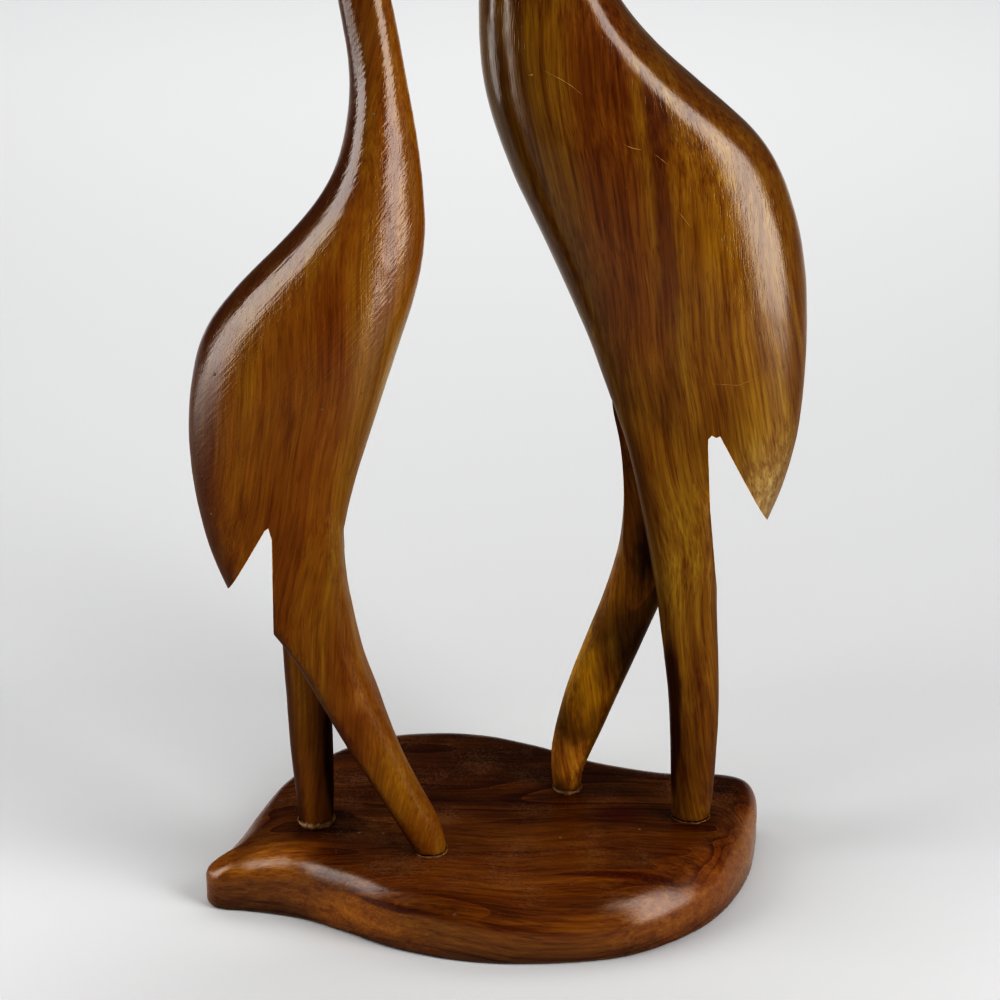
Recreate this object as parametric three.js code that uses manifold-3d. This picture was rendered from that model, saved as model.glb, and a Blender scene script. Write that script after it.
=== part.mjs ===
// A pair of ibises carved in teak, striding towards each other on a freeform plank base.
// Millimetres, +Z up, +X along the base towards the taller bird, +Y away from the viewer.
// The origin is on the flat underside, below the middle of the pair.

import * as THREE from 'three';
import { mergeVertices } from 'three/addons/utils/BufferGeometryUtils.js';
import Module from 'manifold-3d';

const wasm = await Module();
wasm.setup();

// Driving dimensions of the base
const BASE_THICKNESS = 20;
const TOP_ROUNDING = 11;
const UNDERSIDE_ROUNDING = 2;

// Driving dimensions of the two birds: each is cut from a board that stands in its own plane
const SMALL_BIRD_PLANE = -13;
const TALL_BIRD_PLANE = 5.6;
const LEG_OFFSET = 8.4;
const CUT_REACH = 40;

// Fineness of the facets
const BODY_RING_POINTS = 24;
const LEG_RING_POINTS = 16;
const STEPS_PER_RUNG = 2;
const OUTLINE_POINTS = 72;
const ROUNDING_STEPS = 5;
const UNDERSIDE_STEPS = 2;
const WELD_DISTANCE = 1e-4;

// A rung crosses a limb from its back edge to its front edge, both as [x, z].
// Its depth is half the wood's thickness there, and its squareness is the exponent of the
// rounded section: 2 is an ellipse, and more is flatter on the sides.
function rung(back, front, depth, squareness) {
  return { back, front, depth, squareness };
}

// Proportions of a head in profile, as shares of its height: ahead and up from its centre
const BILL_ROOT = [0.62, -0.12];
const BILL_ROOT_HALF = 0.29;
const BILL_TIP_HALF = 0.05;
const CROWN = [0.1, 0.5];
const CHIN = [0.18, -0.46];
const BACK_OF_HEAD = [-0.52, 0.42];
const THROAT = [0.04, -0.52];
const NAPE = [-0.88, -0.12];
const UPPER_NECK = [-0.04, -0.62];
const BILL_RUNGS = 4;
const BILL_ROOT_DEPTH = 0.55;
const BILL_TIP_DEPTH = 0.16;

// The head and the long curved bill, as rungs from the tip of the bill back to the nape.
// facing is 1 for a bird that looks along +X and -1 for one that looks along -X. The bill
// sets off downwards by billDrop and bends on by billTurn, both in radians.
function headRungs({ facing, centre, height, depth, billLength, billDrop, billTurn }) {
  const place = ([ahead, up]) => [centre[0] + facing * height * ahead, centre[1] + height * up];
  const stepLength = billLength / height / BILL_RUNGS;
  const rungs = [];
  let heading = -billDrop;
  let [ahead, up] = BILL_ROOT;
  for (let step = 0; step <= BILL_RUNGS; step += 1) {
    const share = step / BILL_RUNGS;
    const half = THREE.MathUtils.lerp(BILL_ROOT_HALF, BILL_TIP_HALF, share);
    const top = [ahead - half * Math.sin(heading), up + half * Math.cos(heading)];
    const under = [ahead + half * Math.sin(heading), up - half * Math.cos(heading)];
    const thickness = depth * THREE.MathUtils.lerp(BILL_ROOT_DEPTH, BILL_TIP_DEPTH, share);
    rungs.unshift(rung(place(top), place(under), thickness, 2.1));
    ahead += stepLength * Math.cos(heading);
    up += stepLength * Math.sin(heading);
    heading -= billTurn / BILL_RUNGS;
  }
  rungs.push(rung(place(CROWN), place(CHIN), depth, 2.2));
  rungs.push(rung(place(BACK_OF_HEAD), place(THROAT), depth, 2.2));
  rungs.push(rung(place(NAPE), place(UPPER_NECK), depth, 2.1));
  return rungs;
}

// The smaller bird, looking along +X
const smallBird = {
  plane: SMALL_BIRD_PLANE,
  body: [
    ...headRungs({
      facing: 1,
      centre: [-31.5, 311],
      height: 14.5,
      depth: 6.2,
      billLength: 38,
      billDrop: 0.5,
      billTurn: 1.15,
    }),
    rung([-43.8, 297], [-31.9, 296], 6.2, 2.1),
    rung([-42.3, 281.5], [-30.2, 281.5], 6.2, 2.1),
    rung([-39.7, 265], [-26.1, 265], 6.6, 2.1),
    rung([-37.4, 249], [-23.4, 249], 7.2, 2.1),
    rung([-38.5, 234.5], [-20.9, 234], 8.8, 2.2),
    rung([-42.9, 219.5], [-19.1, 220], 11.6, 2.3),
    rung([-53.6, 204.8], [-18.4, 205.5], 14.4, 2.4),
    rung([-67.2, 191], [-20.2, 191.5], 15.6, 2.5),
    rung([-78.2, 177], [-24.8, 176.5], 16.0, 2.6),
    rung([-82.6, 160], [-30.0, 160.5], 16.0, 2.6),
    rung([-83.6, 144], [-35.3, 144.5], 15.6, 2.7),
    rung([-82.0, 128], [-39.9, 129], 15.2, 2.8),
    rung([-78.8, 113.5], [-41.8, 117], 14.8, 3.0),
    rung([-74.0, 101], [-42.0, 106], 14.2, 3.0),
  ],
  nearLeg: [
    rung([-59.0, 146], [-40.0, 146], 5.0, 2.4),
    rung([-60.9, 122], [-42.0, 120], 6.4, 2.9),
    rung([-61.2, 105], [-41.6, 105.5], 6.6, 3.0),
    rung([-61.3, 92.5], [-39.9, 94.5], 6.6, 3.0),
    rung([-60.8, 89.4], [-38.9, 88.5], 6.6, 3.0),
    rung([-55.0, 79], [-36.6, 79], 6.5, 2.8),
    rung([-45.8, 61], [-30.4, 61.5], 6.2, 2.6),
    rung([-36.4, 44], [-23.6, 44.5], 5.8, 2.4),
    rung([-28.2, 28.5], [-16.4, 28.5], 5.4, 2.2),
    rung([-23.8, BASE_THICKNESS], [-14.4, BASE_THICKNESS], 4.9, 2.1),
  ],
  farLeg: [
    rung([-59.0, 146], [-42.0, 146], 5.0, 2.4),
    rung([-61.2, 120], [-42.8, 119], 6.4, 2.9),
    rung([-61.4, 101], [-43.4, 101], 6.6, 3.0),
    rung([-61.3, 84], [-45.0, 84], 6.4, 2.8),
    rung([-60.9, 68], [-46.8, 68], 6.1, 2.6),
    rung([-60.3, 50], [-47.7, 50], 5.8, 2.4),
    rung([-59.4, 33], [-47.7, 33], 5.5, 2.2),
    rung([-58.5, BASE_THICKNESS], [-48.1, BASE_THICKNESS], 5.0, 2.1),
  ],
  // The saw cut that frees the tail from the thigh, widest below
  notch: [
    [-61.6, 125.6],
    [-60.6, 122.0],
    [-61.2, 90],
    [-66, 84],
    [-85.2, 84],
    [-62.6, 124.8],
  ],
};

// The taller bird, looking along -X
const tallBird = {
  plane: TALL_BIRD_PLANE,
  body: [
    ...headRungs({
      facing: -1,
      centre: [3.5, 379],
      height: 18.5,
      depth: 7.8,
      billLength: 54,
      billDrop: 0.4,
      billTurn: 1.15,
    }),
    rung([21.3, 362], [5.6, 360.5], 7.9, 2.1),
    rung([21.6, 343], [6.0, 343], 8.0, 2.1),
    rung([19.8, 322], [3.2, 322], 8.4, 2.1),
    rung([18.9, 303.5], [-0.3, 302], 9.4, 2.1),
    rung([21.4, 286], [-2.8, 284], 11.6, 2.2),
    rung([27.8, 270], [-4.1, 267.5], 14.2, 2.3),
    rung([37.6, 255], [-4.4, 252.5], 16.2, 2.4),
    rung([55.3, 238.5], [-2.9, 238.5], 17.4, 2.5),
    rung([72.7, 223], [2.1, 222], 18.0, 2.6),
    rung([81.0, 204.5], [9.9, 204], 18.0, 2.7),
    rung([84.8, 186], [18.4, 186], 17.8, 2.8),
    rung([85.8, 168], [26.1, 168], 17.2, 2.8),
    rung([85.2, 148], [31.3, 154], 16.2, 2.9),
    rung([82.2, 129], [33.2, 149], 15.2, 3.0),
    rung([76.6, 113], [34.6, 145], 14.4, 3.0),
  ],
  nearLeg: [
    rung([57.0, 178], [38.0, 176], 5.2, 2.4),
    rung([57.9, 156], [31.9, 156], 6.6, 2.9),
    rung([58.6, 141], [36.3, 140], 6.8, 3.0),
    rung([59.9, 122], [40.6, 121.5], 6.8, 3.0),
    rung([61.6, 103], [44.2, 103], 6.7, 2.9),
    rung([63.7, 83.5], [47.2, 83.5], 6.5, 2.8),
    rung([64.7, 64], [49.7, 64], 6.2, 2.6),
    rung([64.8, 45], [51.2, 45], 5.8, 2.4),
    rung([64.3, 31], [51.7, 31], 5.4, 2.2),
    rung([63.5, BASE_THICKNESS], [52.2, BASE_THICKNESS], 5.0, 2.1),
  ],
  farLeg: [
    rung([57.0, 178], [38.0, 176], 5.2, 2.4),
    rung([58.0, 154], [32.3, 152], 6.6, 2.9),
    rung([59.2, 135], [35.4, 134], 6.8, 3.0),
    rung([58.4, 117], [36.7, 117], 6.8, 3.0),
    rung([54.5, 100], [36.0, 102], 6.7, 2.9),
    rung([48.4, 84], [32.4, 87], 6.5, 2.8),
    rung([42.4, 68], [26.3, 70], 6.1, 2.6),
    rung([35.8, 51], [20.5, 52], 5.5, 2.4),
    rung([30.0, 36], [17.1, 36.5], 5.0, 2.2),
    rung([26.6, 27], [16.7, 27], 4.6, 2.2),
    rung([25.6, BASE_THICKNESS], [17.4, BASE_THICKNESS], 4.2, 2.1),
  ],
  notch: [
    [59.3, 145.0],
    [61.4, 144.4],
    [83.2, 103],
    [83.2, 92],
    [62.6, 92],
    [61.2, 106],
    [59.8, 124],
    [58.3, 142],
  ],
};

// The plank base seen from above, as [x, y] round its edge from its narrow left end
const baseOutline = [
  [-85.2, -18.0],
  [-82.4, -22.8],
  [-73.5, -24.4],
  [-58.0, -28.2],
  [-43.5, -35.6],
  [-28.0, -44.2],
  [-5.0, -50.6],
  [18.0, -51.2],
  [42.0, -45.8],
  [61.2, -31.8],
  [73.2, -12.2],
  [78.6, 7.5],
  [79.0, 23.2],
  [71.4, 28.0],
  [50.0, 29.2],
  [30.0, 35.6],
  [12.0, 45.8],
  [-6.0, 52.8],
  [-25.0, 53.8],
  [-42.0, 48.4],
  [-58.6, 33.4],
  [-73.4, 7.6],
  [-80.6, -12.0],
];

// The plank's middle line, towards which its rounded edges draw in
const BASE_SPINE_START = [-70, -15];
const BASE_SPINE_END = [66, 8];

// Makes a closed geometry a solid, with its faces turned outwards
function solidOf(geometry) {
  geometry.deleteAttribute('normal');
  geometry.deleteAttribute('uv');
  const merged = mergeVertices(geometry, WELD_DISTANCE);
  const vertProperties = new Float32Array(merged.attributes.position.array);
  const triVerts = new Uint32Array(merged.index.array);
  if (signedVolume(vertProperties, triVerts) < 0) {
    for (let first = 0; first < triVerts.length; first += 3) {
      [triVerts[first + 1], triVerts[first + 2]] = [triVerts[first + 2], triVerts[first + 1]];
    }
  }
  return new wasm.Manifold(new wasm.Mesh({ numProp: 3, vertProperties, triVerts }));
}

function signedVolume(points, triangles) {
  const a = new THREE.Vector3();
  const b = new THREE.Vector3();
  const c = new THREE.Vector3();
  let volume = 0;
  for (let first = 0; first < triangles.length; first += 3) {
    a.fromArray(points, 3 * triangles[first]);
    b.fromArray(points, 3 * triangles[first + 1]);
    c.fromArray(points, 3 * triangles[first + 2]);
    volume += a.dot(b.cross(c)) / 6;
  }
  return volume;
}

// Joins rings of equal point counts into a closed skin, with a fan of triangles at each end
function skin(rings) {
  const count = rings[0].length;
  const positions = rings.flat().flatMap((point) => point.toArray());
  const triangles = [];
  for (let level = 0; level < rings.length - 1; level += 1) {
    for (let side = 0; side < count; side += 1) {
      const next = (side + 1) % count;
      const low = level * count;
      const high = low + count;
      triangles.push(low + side, low + next, high + next);
      triangles.push(low + side, high + next, high + side);
    }
  }
  const last = (rings.length - 1) * count;
  [[0, true], [last, false]].forEach(([start, flipped]) => {
    const ring = rings[start / count];
    const middle = new THREE.Vector3();
    ring.forEach((point) => middle.addScaledVector(point, 1 / count));
    const centre = positions.length / 3;
    positions.push(...middle.toArray());
    for (let side = 0; side < count; side += 1) {
      const next = (side + 1) % count;
      const pair = flipped ? [start + next, start + side] : [start + side, start + next];
      triangles.push(centre, ...pair);
    }
  });
  const geometry = new THREE.BufferGeometry();
  geometry.setAttribute('position', new THREE.Float32BufferAttribute(positions, 3));
  geometry.setIndex(triangles);
  return solidOf(geometry);
}

// One ring of a limb's rounded section, across the line from its back edge to its front edge
function sectionRing(back, front, plane, depth, squareness, points) {
  const middle = back.clone().add(front).multiplyScalar(0.5);
  const reach = front.clone().sub(back).multiplyScalar(0.5);
  const ring = [];
  for (let side = 0; side < points; side += 1) {
    const angle = (2 * Math.PI * side) / points;
    const across = Math.sign(Math.cos(angle)) * Math.abs(Math.cos(angle)) ** (2 / squareness);
    const outwards = Math.sign(Math.sin(angle)) * Math.abs(Math.sin(angle)) ** (2 / squareness);
    const x = middle.x + across * reach.x;
    const z = middle.z + across * reach.z;
    ring.push(new THREE.Vector3(x, plane + outwards * depth, z));
  }
  return ring;
}

// A limb is lofted through its rungs, with smooth curves along its back and front edges
function limb(rungs, plane, points) {
  const smooth = (list) => new THREE.CatmullRomCurve3(list, false, 'centripetal');
  const back = smooth(rungs.map((one) => new THREE.Vector3(one.back[0], 0, one.back[1])));
  const front = smooth(rungs.map((one) => new THREE.Vector3(one.front[0], 0, one.front[1])));
  const steps = STEPS_PER_RUNG * (rungs.length - 1);
  const rings = [];
  for (let step = 0; step <= steps; step += 1) {
    const share = step / steps;
    const place = share * (rungs.length - 1);
    const index = Math.min(Math.floor(place), rungs.length - 2);
    const here = rungs[index];
    const next = rungs[index + 1];
    const depth = THREE.MathUtils.lerp(here.depth, next.depth, place - index);
    const squareness = THREE.MathUtils.lerp(here.squareness, next.squareness, place - index);
    rings.push(
      sectionRing(back.getPoint(share), front.getPoint(share), plane, depth, squareness, points),
    );
  }
  return skin(rings);
}

// A straight cut right through a bird from side to side, with an outline given as [x, z]
function sideCut(outline, plane) {
  const shape = new THREE.Shape(outline.map(([x, z]) => new THREE.Vector2(x, z)));
  const geometry = new THREE.ExtrudeGeometry(shape, { depth: 2 * CUT_REACH, bevelEnabled: false });
  geometry.rotateX(Math.PI / 2);
  geometry.translate(0, plane + CUT_REACH, 0);
  return solidOf(geometry);
}

// A bird is one piece of wood: bill, head, neck, body and tail, with its two striding legs
function birdSolid({ plane, body, nearLeg, farLeg, notch }) {
  return limb(body, plane, BODY_RING_POINTS)
    .add(limb(nearLeg, plane - LEG_OFFSET, LEG_RING_POINTS))
    .add(limb(farLeg, plane + LEG_OFFSET, LEG_RING_POINTS))
    .subtract(sideCut(notch, plane));
}

// The nearest point of the plank's middle line to a point of its edge
function spinePoint(point) {
  const start = new THREE.Vector2(...BASE_SPINE_START);
  const run = new THREE.Vector2(...BASE_SPINE_END).sub(start);
  const share = point.clone().sub(start).dot(run) / run.lengthSq();
  return start.addScaledVector(run, THREE.MathUtils.clamp(share, 0, 1));
}

// The base is a plank with a flat top and underside and a generously rounded upper edge
function baseSolid() {
  const corners = baseOutline.map(([x, y]) => new THREE.Vector3(x, y, 0));
  const edge = new THREE.CatmullRomCurve3(corners, true, 'centripetal');
  const outline = edge.getSpacedPoints(OUTLINE_POINTS).slice(0, OUTLINE_POINTS);
  const ringAt = (inset, height) => outline.map((corner) => {
    const point = new THREE.Vector2(corner.x, corner.y);
    const inwards = spinePoint(point).sub(point);
    point.addScaledVector(inwards.normalize(), inset);
    return new THREE.Vector3(point.x, point.y, height);
  });
  const rings = [];
  for (let step = 0; step <= UNDERSIDE_STEPS; step += 1) {
    const turn = ((Math.PI / 2) * step) / UNDERSIDE_STEPS;
    const inset = UNDERSIDE_ROUNDING * (1 - Math.sin(turn));
    rings.push(ringAt(inset, UNDERSIDE_ROUNDING * (1 - Math.cos(turn))));
  }
  for (let step = 0; step <= ROUNDING_STEPS; step += 1) {
    const turn = ((Math.PI / 2) * step) / ROUNDING_STEPS;
    const inset = TOP_ROUNDING * (1 - Math.cos(turn));
    rings.push(ringAt(inset, BASE_THICKNESS - TOP_ROUNDING * (1 - Math.sin(turn))));
  }
  return skin(rings);
}

function meshOf(name, solid, finish) {
  const { vertProperties, triVerts } = solid.getMesh();
  const geometry = new THREE.BufferGeometry();
  geometry.setAttribute('position', new THREE.BufferAttribute(vertProperties, 3));
  geometry.setIndex(new THREE.BufferAttribute(triVerts, 1));
  geometry.computeVertexNormals();
  const mesh = new THREE.Mesh(geometry, new THREE.MeshStandardMaterial(finish));
  mesh.name = name;
  return mesh;
}

const group = new THREE.Group();
group.add(meshOf('base', baseSolid(), { color: 0x54301a, roughness: 0.42, metalness: 0 }));
group.add(
  meshOf('smaller_ibis', birdSolid(smallBird), { color: 0x6e3c18, roughness: 0.38, metalness: 0 }),
);
group.add(
  meshOf('taller_ibis', birdSolid(tallBird), { color: 0x7c4f1c, roughness: 0.38, metalness: 0 }),
);

export default group;
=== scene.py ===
"""The fine surfaces and finishes of a pair of ibises carved in teak on a freeform teak plank.

Sizes are in millimetres and become metres when a mesh is made. +X runs along the base towards
the taller bird, +Y away from the viewer and +Z up. Each bird is cut from a board that stands in
its own plane, a fixed distance along Y.
"""

import logging
import math
import random
from collections.abc import Callable, Iterator, Sequence
from dataclasses import dataclass, replace
from enum import Enum
from functools import partial
from typing import Any

import bpy
import numpy as np
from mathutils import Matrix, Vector, noise
from mathutils.bvhtree import BVHTree


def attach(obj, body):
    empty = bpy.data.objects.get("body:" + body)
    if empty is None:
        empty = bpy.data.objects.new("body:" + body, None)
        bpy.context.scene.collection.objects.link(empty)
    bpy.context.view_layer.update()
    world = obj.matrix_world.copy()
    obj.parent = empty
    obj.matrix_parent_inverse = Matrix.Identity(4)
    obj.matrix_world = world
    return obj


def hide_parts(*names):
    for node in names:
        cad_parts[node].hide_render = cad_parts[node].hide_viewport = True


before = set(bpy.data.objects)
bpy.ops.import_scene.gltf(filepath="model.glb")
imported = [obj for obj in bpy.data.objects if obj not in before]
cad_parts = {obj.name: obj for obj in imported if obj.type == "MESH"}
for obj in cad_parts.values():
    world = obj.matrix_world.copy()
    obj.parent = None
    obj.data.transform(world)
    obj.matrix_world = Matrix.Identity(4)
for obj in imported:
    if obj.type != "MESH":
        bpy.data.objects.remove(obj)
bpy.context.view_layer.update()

log = logging.getLogger("ibis_pair")

MM = 0.001
BODY = "root"

Point = tuple[float, float]
Place = tuple[float, float, float]
Mesh = tuple[np.ndarray, list[tuple[int, ...]]]
Socket = bpy.types.NodeSocket
Tree = bpy.types.NodeTree
Adder = Callable[..., Socket]
Thing = bpy.types.Object

# Driving dimensions shared by both birds
BASE_THICKNESS = 20.0
LEG_OFFSET = 8.4
KERF = 4.0
CUT_REACH = 40.0
FAR_OFF = 500.0

# Fineness of the surfaces
RING_POINTS = 96
STEPS_PER_RUNG = 20
VOXEL = 0.74
SHARP_ANGLE = math.radians(38)
ARRIS = "arris"

# The refraction of the oil film on the wood
OIL_IOR = 1.5

# The kinds of node that come back often
MATH = "ShaderNodeMath"
VECTOR_MATH = "ShaderNodeVectorMath"
NOISE = "ShaderNodeTexNoise"
MAP_RANGE = "ShaderNodeMapRange"
SPLIT = "ShaderNodeSeparateXYZ"

# Socket numbers of a colour Mix node, whose names repeat
MIX_FACTOR, MIX_A, MIX_B, MIX_RESULT = 0, 6, 7, 2


class Facing(Enum):
    """The way a bird looks along X."""

    TOWARDS_TALLER = 1
    TOWARDS_SMALLER = -1


class Side(Enum):
    """The side of a bird's board that a leg is on."""

    NEAR = -1
    FAR = 1


class Grain(Enum):
    """The way the wood's fibres run, as the turn about Y that lays Z along them."""

    UPRIGHT = 0.0
    LENGTHWISE = math.pi / 2


class Sight(Enum):
    """The way that a small mark is looked at when its place on a surface is found."""

    NEAR_SIDE = (0.0, 1.0, 0.0)
    ABOVE = (0.0, 0.0, -1.0)


def linear(hex_colour: str) -> tuple[float, float, float, float]:
    """Turns an sRGB hex colour into linear red, green, blue and alpha.

    Args:
        hex_colour: six hex digits after a hash sign.

    Returns:
        The four linear values.
    """
    shares = [int(hex_colour[first : first + 2], 16) / 255 for first in (1, 3, 5)]
    parts = [s / 12.92 if s <= 0.04045 else ((s + 0.055) / 1.055) ** 2.4 for s in shares]
    return (parts[0], parts[1], parts[2], 1.0)


def add_node(
    tree: Tree, kind: str, inputs: dict[Any, Any] | None = None, give: int | str = 0, **settings: Any
) -> Socket:
    """Adds a node with its settings and links.

    Args:
        tree: the tree that takes the node.
        kind: the node's type name.
        inputs: a value or an output socket for each input, by the input's name or number.
        give: the name or number of the output to give back.
        settings: the node's own properties.

    Returns:
        The output socket of the new node, or None where it has no outputs.
    """
    node = tree.nodes.new(kind)
    for name, value in settings.items():
        setattr(node, name, value)
    for key, value in (inputs or {}).items():
        if isinstance(value, Socket):
            tree.links.new(value, node.inputs[key])
        else:
            node.inputs[key].default_value = value
    return node.outputs[give] if node.outputs else None


def lay_over(
    add: Adder,
    under: Any,
    over: str,
    value: Socket,
    low: float,
    high: float,
    share: float = 1.0,
) -> Socket:
    """Lays a colour over another where a value is high enough.

    Args:
        add: what adds a node to the tree.
        under: the colour below, as a socket or as linear values.
        over: the colour above, in sRGB hex.
        value: what says where the colour goes.
        low: the value at which nothing of it shows.
        high: the value at which its full share shows.
        share: the most that may show.

    Returns:
        The new colour.
    """
    mask = add(
        MAP_RANGE,
        {"Value": value, "From Min": low, "From Max": high, "To Min": 0.0, "To Max": share},
        interpolation_type="SMOOTHSTEP",
    )
    colours = {MIX_FACTOR: mask, MIX_A: under, MIX_B: linear(over)}
    return add("ShaderNodeMix", colours, MIX_RESULT, data_type="RGBA")


def start_material(name: str) -> tuple[bpy.types.Material, Adder]:
    """Makes a material with an empty tree.

    Args:
        name: the material's name.

    Returns:
        The material and what adds a node to its tree.
    """
    made = bpy.data.materials.new(name)
    made.use_nodes = True
    made.node_tree.nodes.clear()
    return made, partial(add_node, made.node_tree)


def end_material(add: Adder, inputs: dict[str, Any]) -> None:
    """Ends a material's tree with its shader.

    Args:
        add: what adds a node to the tree.
        inputs: a value or an output socket for each input of the shader.
    """
    shader = add("ShaderNodeBsdfPrincipled", inputs)
    add("ShaderNodeOutputMaterial", {"Surface": shader})


def smooth_path(knots: np.ndarray, steps: int) -> np.ndarray:
    """Follows a centripetal Catmull-Rom curve through knots.

    Args:
        knots: one knot a row.
        steps: how many steps each span takes.

    Returns:
        The points of the curve, one a row, with both end knots.
    """
    first = 2 * knots[0] - knots[1]
    last = 2 * knots[-1] - knots[-2]
    chain = np.vstack([first, knots, last])
    gaps = np.sqrt(np.linalg.norm(np.diff(chain, axis=0), axis=1))
    points = []
    for span in range(len(knots) - 1):
        a, b, c, d = chain[span : span + 4]
        before, here, after = gaps[span : span + 3]
        leave = here * ((b - a) / before - (c - a) / (before + here) + (c - b) / here)
        arrive = here * ((c - b) / here - (d - b) / (here + after) + (d - c) / after)
        share = np.linspace(0, 1, steps, endpoint=False)[:, None]
        square = 3 * (c - b) - 2 * leave - arrive
        cube = 2 * (b - c) + leave + arrive
        points.append(b + share * (leave + share * (square + share * cube)))
    return np.vstack([*points, knots[-1:]])


def faired(values: np.ndarray, passes: int) -> np.ndarray:
    """Evens out a list of values by averaging neighbours, with both ends held.

    Args:
        values: one value or point a row.
        passes: how many times the neighbours are averaged.

    Returns:
        The evened values.
    """
    values = values.copy()
    for _ in range(passes):
        values[1:-1] += 0.25 * (values[:-2] - 2 * values[1:-1] + values[2:])
    return values


def eased(share: np.ndarray) -> np.ndarray:
    """Holds shares between 0 and 1 and eases them in and out."""
    held = np.clip(share, 0, 1)
    return held * held * (3 - 2 * held)


def skin(rings: np.ndarray) -> Mesh:
    """Joins rings of equal point counts into a closed skin with a fan at each end.

    Args:
        rings: an array of rings by points by three coordinates.

    Returns:
        The points and the faces.
    """
    levels, count, _ = rings.shape
    points = rings.reshape(-1, 3)
    faces: list[tuple[int, ...]] = []
    for level in range(levels - 1):
        low = level * count
        for side in range(count):
            after = (side + 1) % count
            faces.append((low + side, low + after, low + count + after, low + count + side))
    ends = [rings[0].mean(axis=0), rings[-1].mean(axis=0)]
    last = (levels - 1) * count
    for side in range(count):
        after = (side + 1) % count
        faces.append((len(points), after, side))
        faces.append((len(points) + 1, last + side, last + after))
    return np.vstack([points, *ends]), faces


def joined(parts: Sequence[Mesh]) -> Mesh:
    """Puts several skins into one list of points and faces.

    Args:
        parts: the points and the faces of each skin.

    Returns:
        The points and the faces of all of them.
    """
    points: list[np.ndarray] = []
    faces: list[tuple[int, ...]] = []
    count = 0
    for part_points, part_faces in parts:
        points.append(part_points)
        faces.extend(tuple(index + count for index in face) for face in part_faces)
        count += len(part_points)
    return np.vstack(points), faces


def mesh_object(
    name: str, points: np.ndarray, faces: Sequence[Sequence[int]] = (), edges: Sequence[tuple[int, int]] = ()
) -> Thing:
    """Makes an object at the origin from points in millimetres.

    Args:
        name: the object's name.
        points: one point a row, in millimetres.
        faces: the point numbers of each face.
        edges: the point numbers of each loose edge.

    Returns:
        The new object, in the scene.
    """
    mesh = bpy.data.meshes.new(name)
    mesh.from_pydata((points * MM).tolist(), list(edges), list(faces))
    mesh.validate()
    thing = bpy.data.objects.new(name, mesh)
    bpy.context.scene.collection.objects.link(thing)
    return thing


def applied(thing: Thing) -> Thing:
    """Puts an object's evaluated mesh in place of its own and drops its modifiers.

    Args:
        thing: the object.

    Returns:
        The same object.
    """
    graph = bpy.context.evaluated_depsgraph_get()
    mesh = bpy.data.meshes.new_from_object(thing.evaluated_get(graph), depsgraph=graph)
    old = thing.data
    thing.modifiers.clear()
    thing.data = mesh
    bpy.data.meshes.remove(old)
    return thing


def remove(thing: Thing) -> None:
    """Deletes an object and its mesh.

    Args:
        thing: the object.
    """
    mesh = thing.data
    bpy.data.objects.remove(thing)
    bpy.data.meshes.remove(mesh)


def values_of(items: Any, name: str, width: int = 1, kind: type = float) -> np.ndarray:
    """Reads the same value of every item in a mesh.

    Args:
        items: the mesh's points, edges, faces or corners, or the data of an attribute.
        name: the value's name.
        width: how many numbers the value has.
        kind: the kind of number.

    Returns:
        The values, one a row where they have more than one number.
    """
    flat = np.empty(width * len(items), dtype=kind)
    items.foreach_get(name, flat)
    return flat if width == 1 else flat.reshape(-1, width)


def points_of(mesh: bpy.types.Mesh) -> np.ndarray:
    """The points of a mesh, in millimetres, one a row."""
    return values_of(mesh.vertices, "co", 3) / MM


def move_points(mesh: bpy.types.Mesh, points: np.ndarray) -> None:
    """Moves a mesh's points to new places, given in millimetres."""
    mesh.vertices.foreach_set("co", (points * MM).ravel())
    mesh.update()


def normals_of(mesh: bpy.types.Mesh) -> np.ndarray:
    """The unit normals of a mesh at its points, one a row."""
    return values_of(mesh.vertex_normals, "vector", 3)


def relax(mesh: bpy.types.Mesh, rounds: int) -> None:
    """Smooths a mesh without shrinking it: each round draws in and then lets out again.

    Args:
        mesh: the mesh to smooth.
        rounds: how many times to draw in and let out.
    """
    inwards, outwards = 0.5, -0.52
    first, second = values_of(mesh.edges, "vertices", 2, np.int64).T
    points = points_of(mesh)
    total = len(points)
    count = np.bincount(first, minlength=total) + np.bincount(second, minlength=total)
    for step in [inwards, outwards] * rounds:
        mean = np.empty_like(points)
        for axis in range(3):
            column = points[:, axis]
            near = np.bincount(first, column[second], total) + np.bincount(second, column[first], total)
            mean[:, axis] = near / count
        points += step * (mean - points)
    move_points(mesh, points)


def make_one_surface(thing: Thing, rounds: int) -> None:
    """Turns joined skins into one even surface and smooths it.

    Args:
        thing: the object whose mesh holds the skins.
        rounds: how many rounds of smoothing it gets.
    """
    remesh = thing.modifiers.new("one surface", "REMESH")
    remesh.mode = "VOXEL"
    remesh.voxel_size = VOXEL * MM
    remesh.adaptivity = 0.0
    applied(thing)
    relax(thing.data, rounds)


def ripple(mesh: bpy.types.Mesh, height: float, length: float) -> None:
    """Leaves the faint unevenness of hand carving in a surface.

    Args:
        mesh: the mesh to work on.
        height: how far the surface rises and falls, in millimetres.
        length: the usual distance between two rises, in millimetres.
    """
    points = points_of(mesh)
    normals = normals_of(mesh)
    rises = [noise.noise(Vector(point) / length) for point in points]
    move_points(mesh, points + height * np.array(rises)[:, None] * normals)


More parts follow.
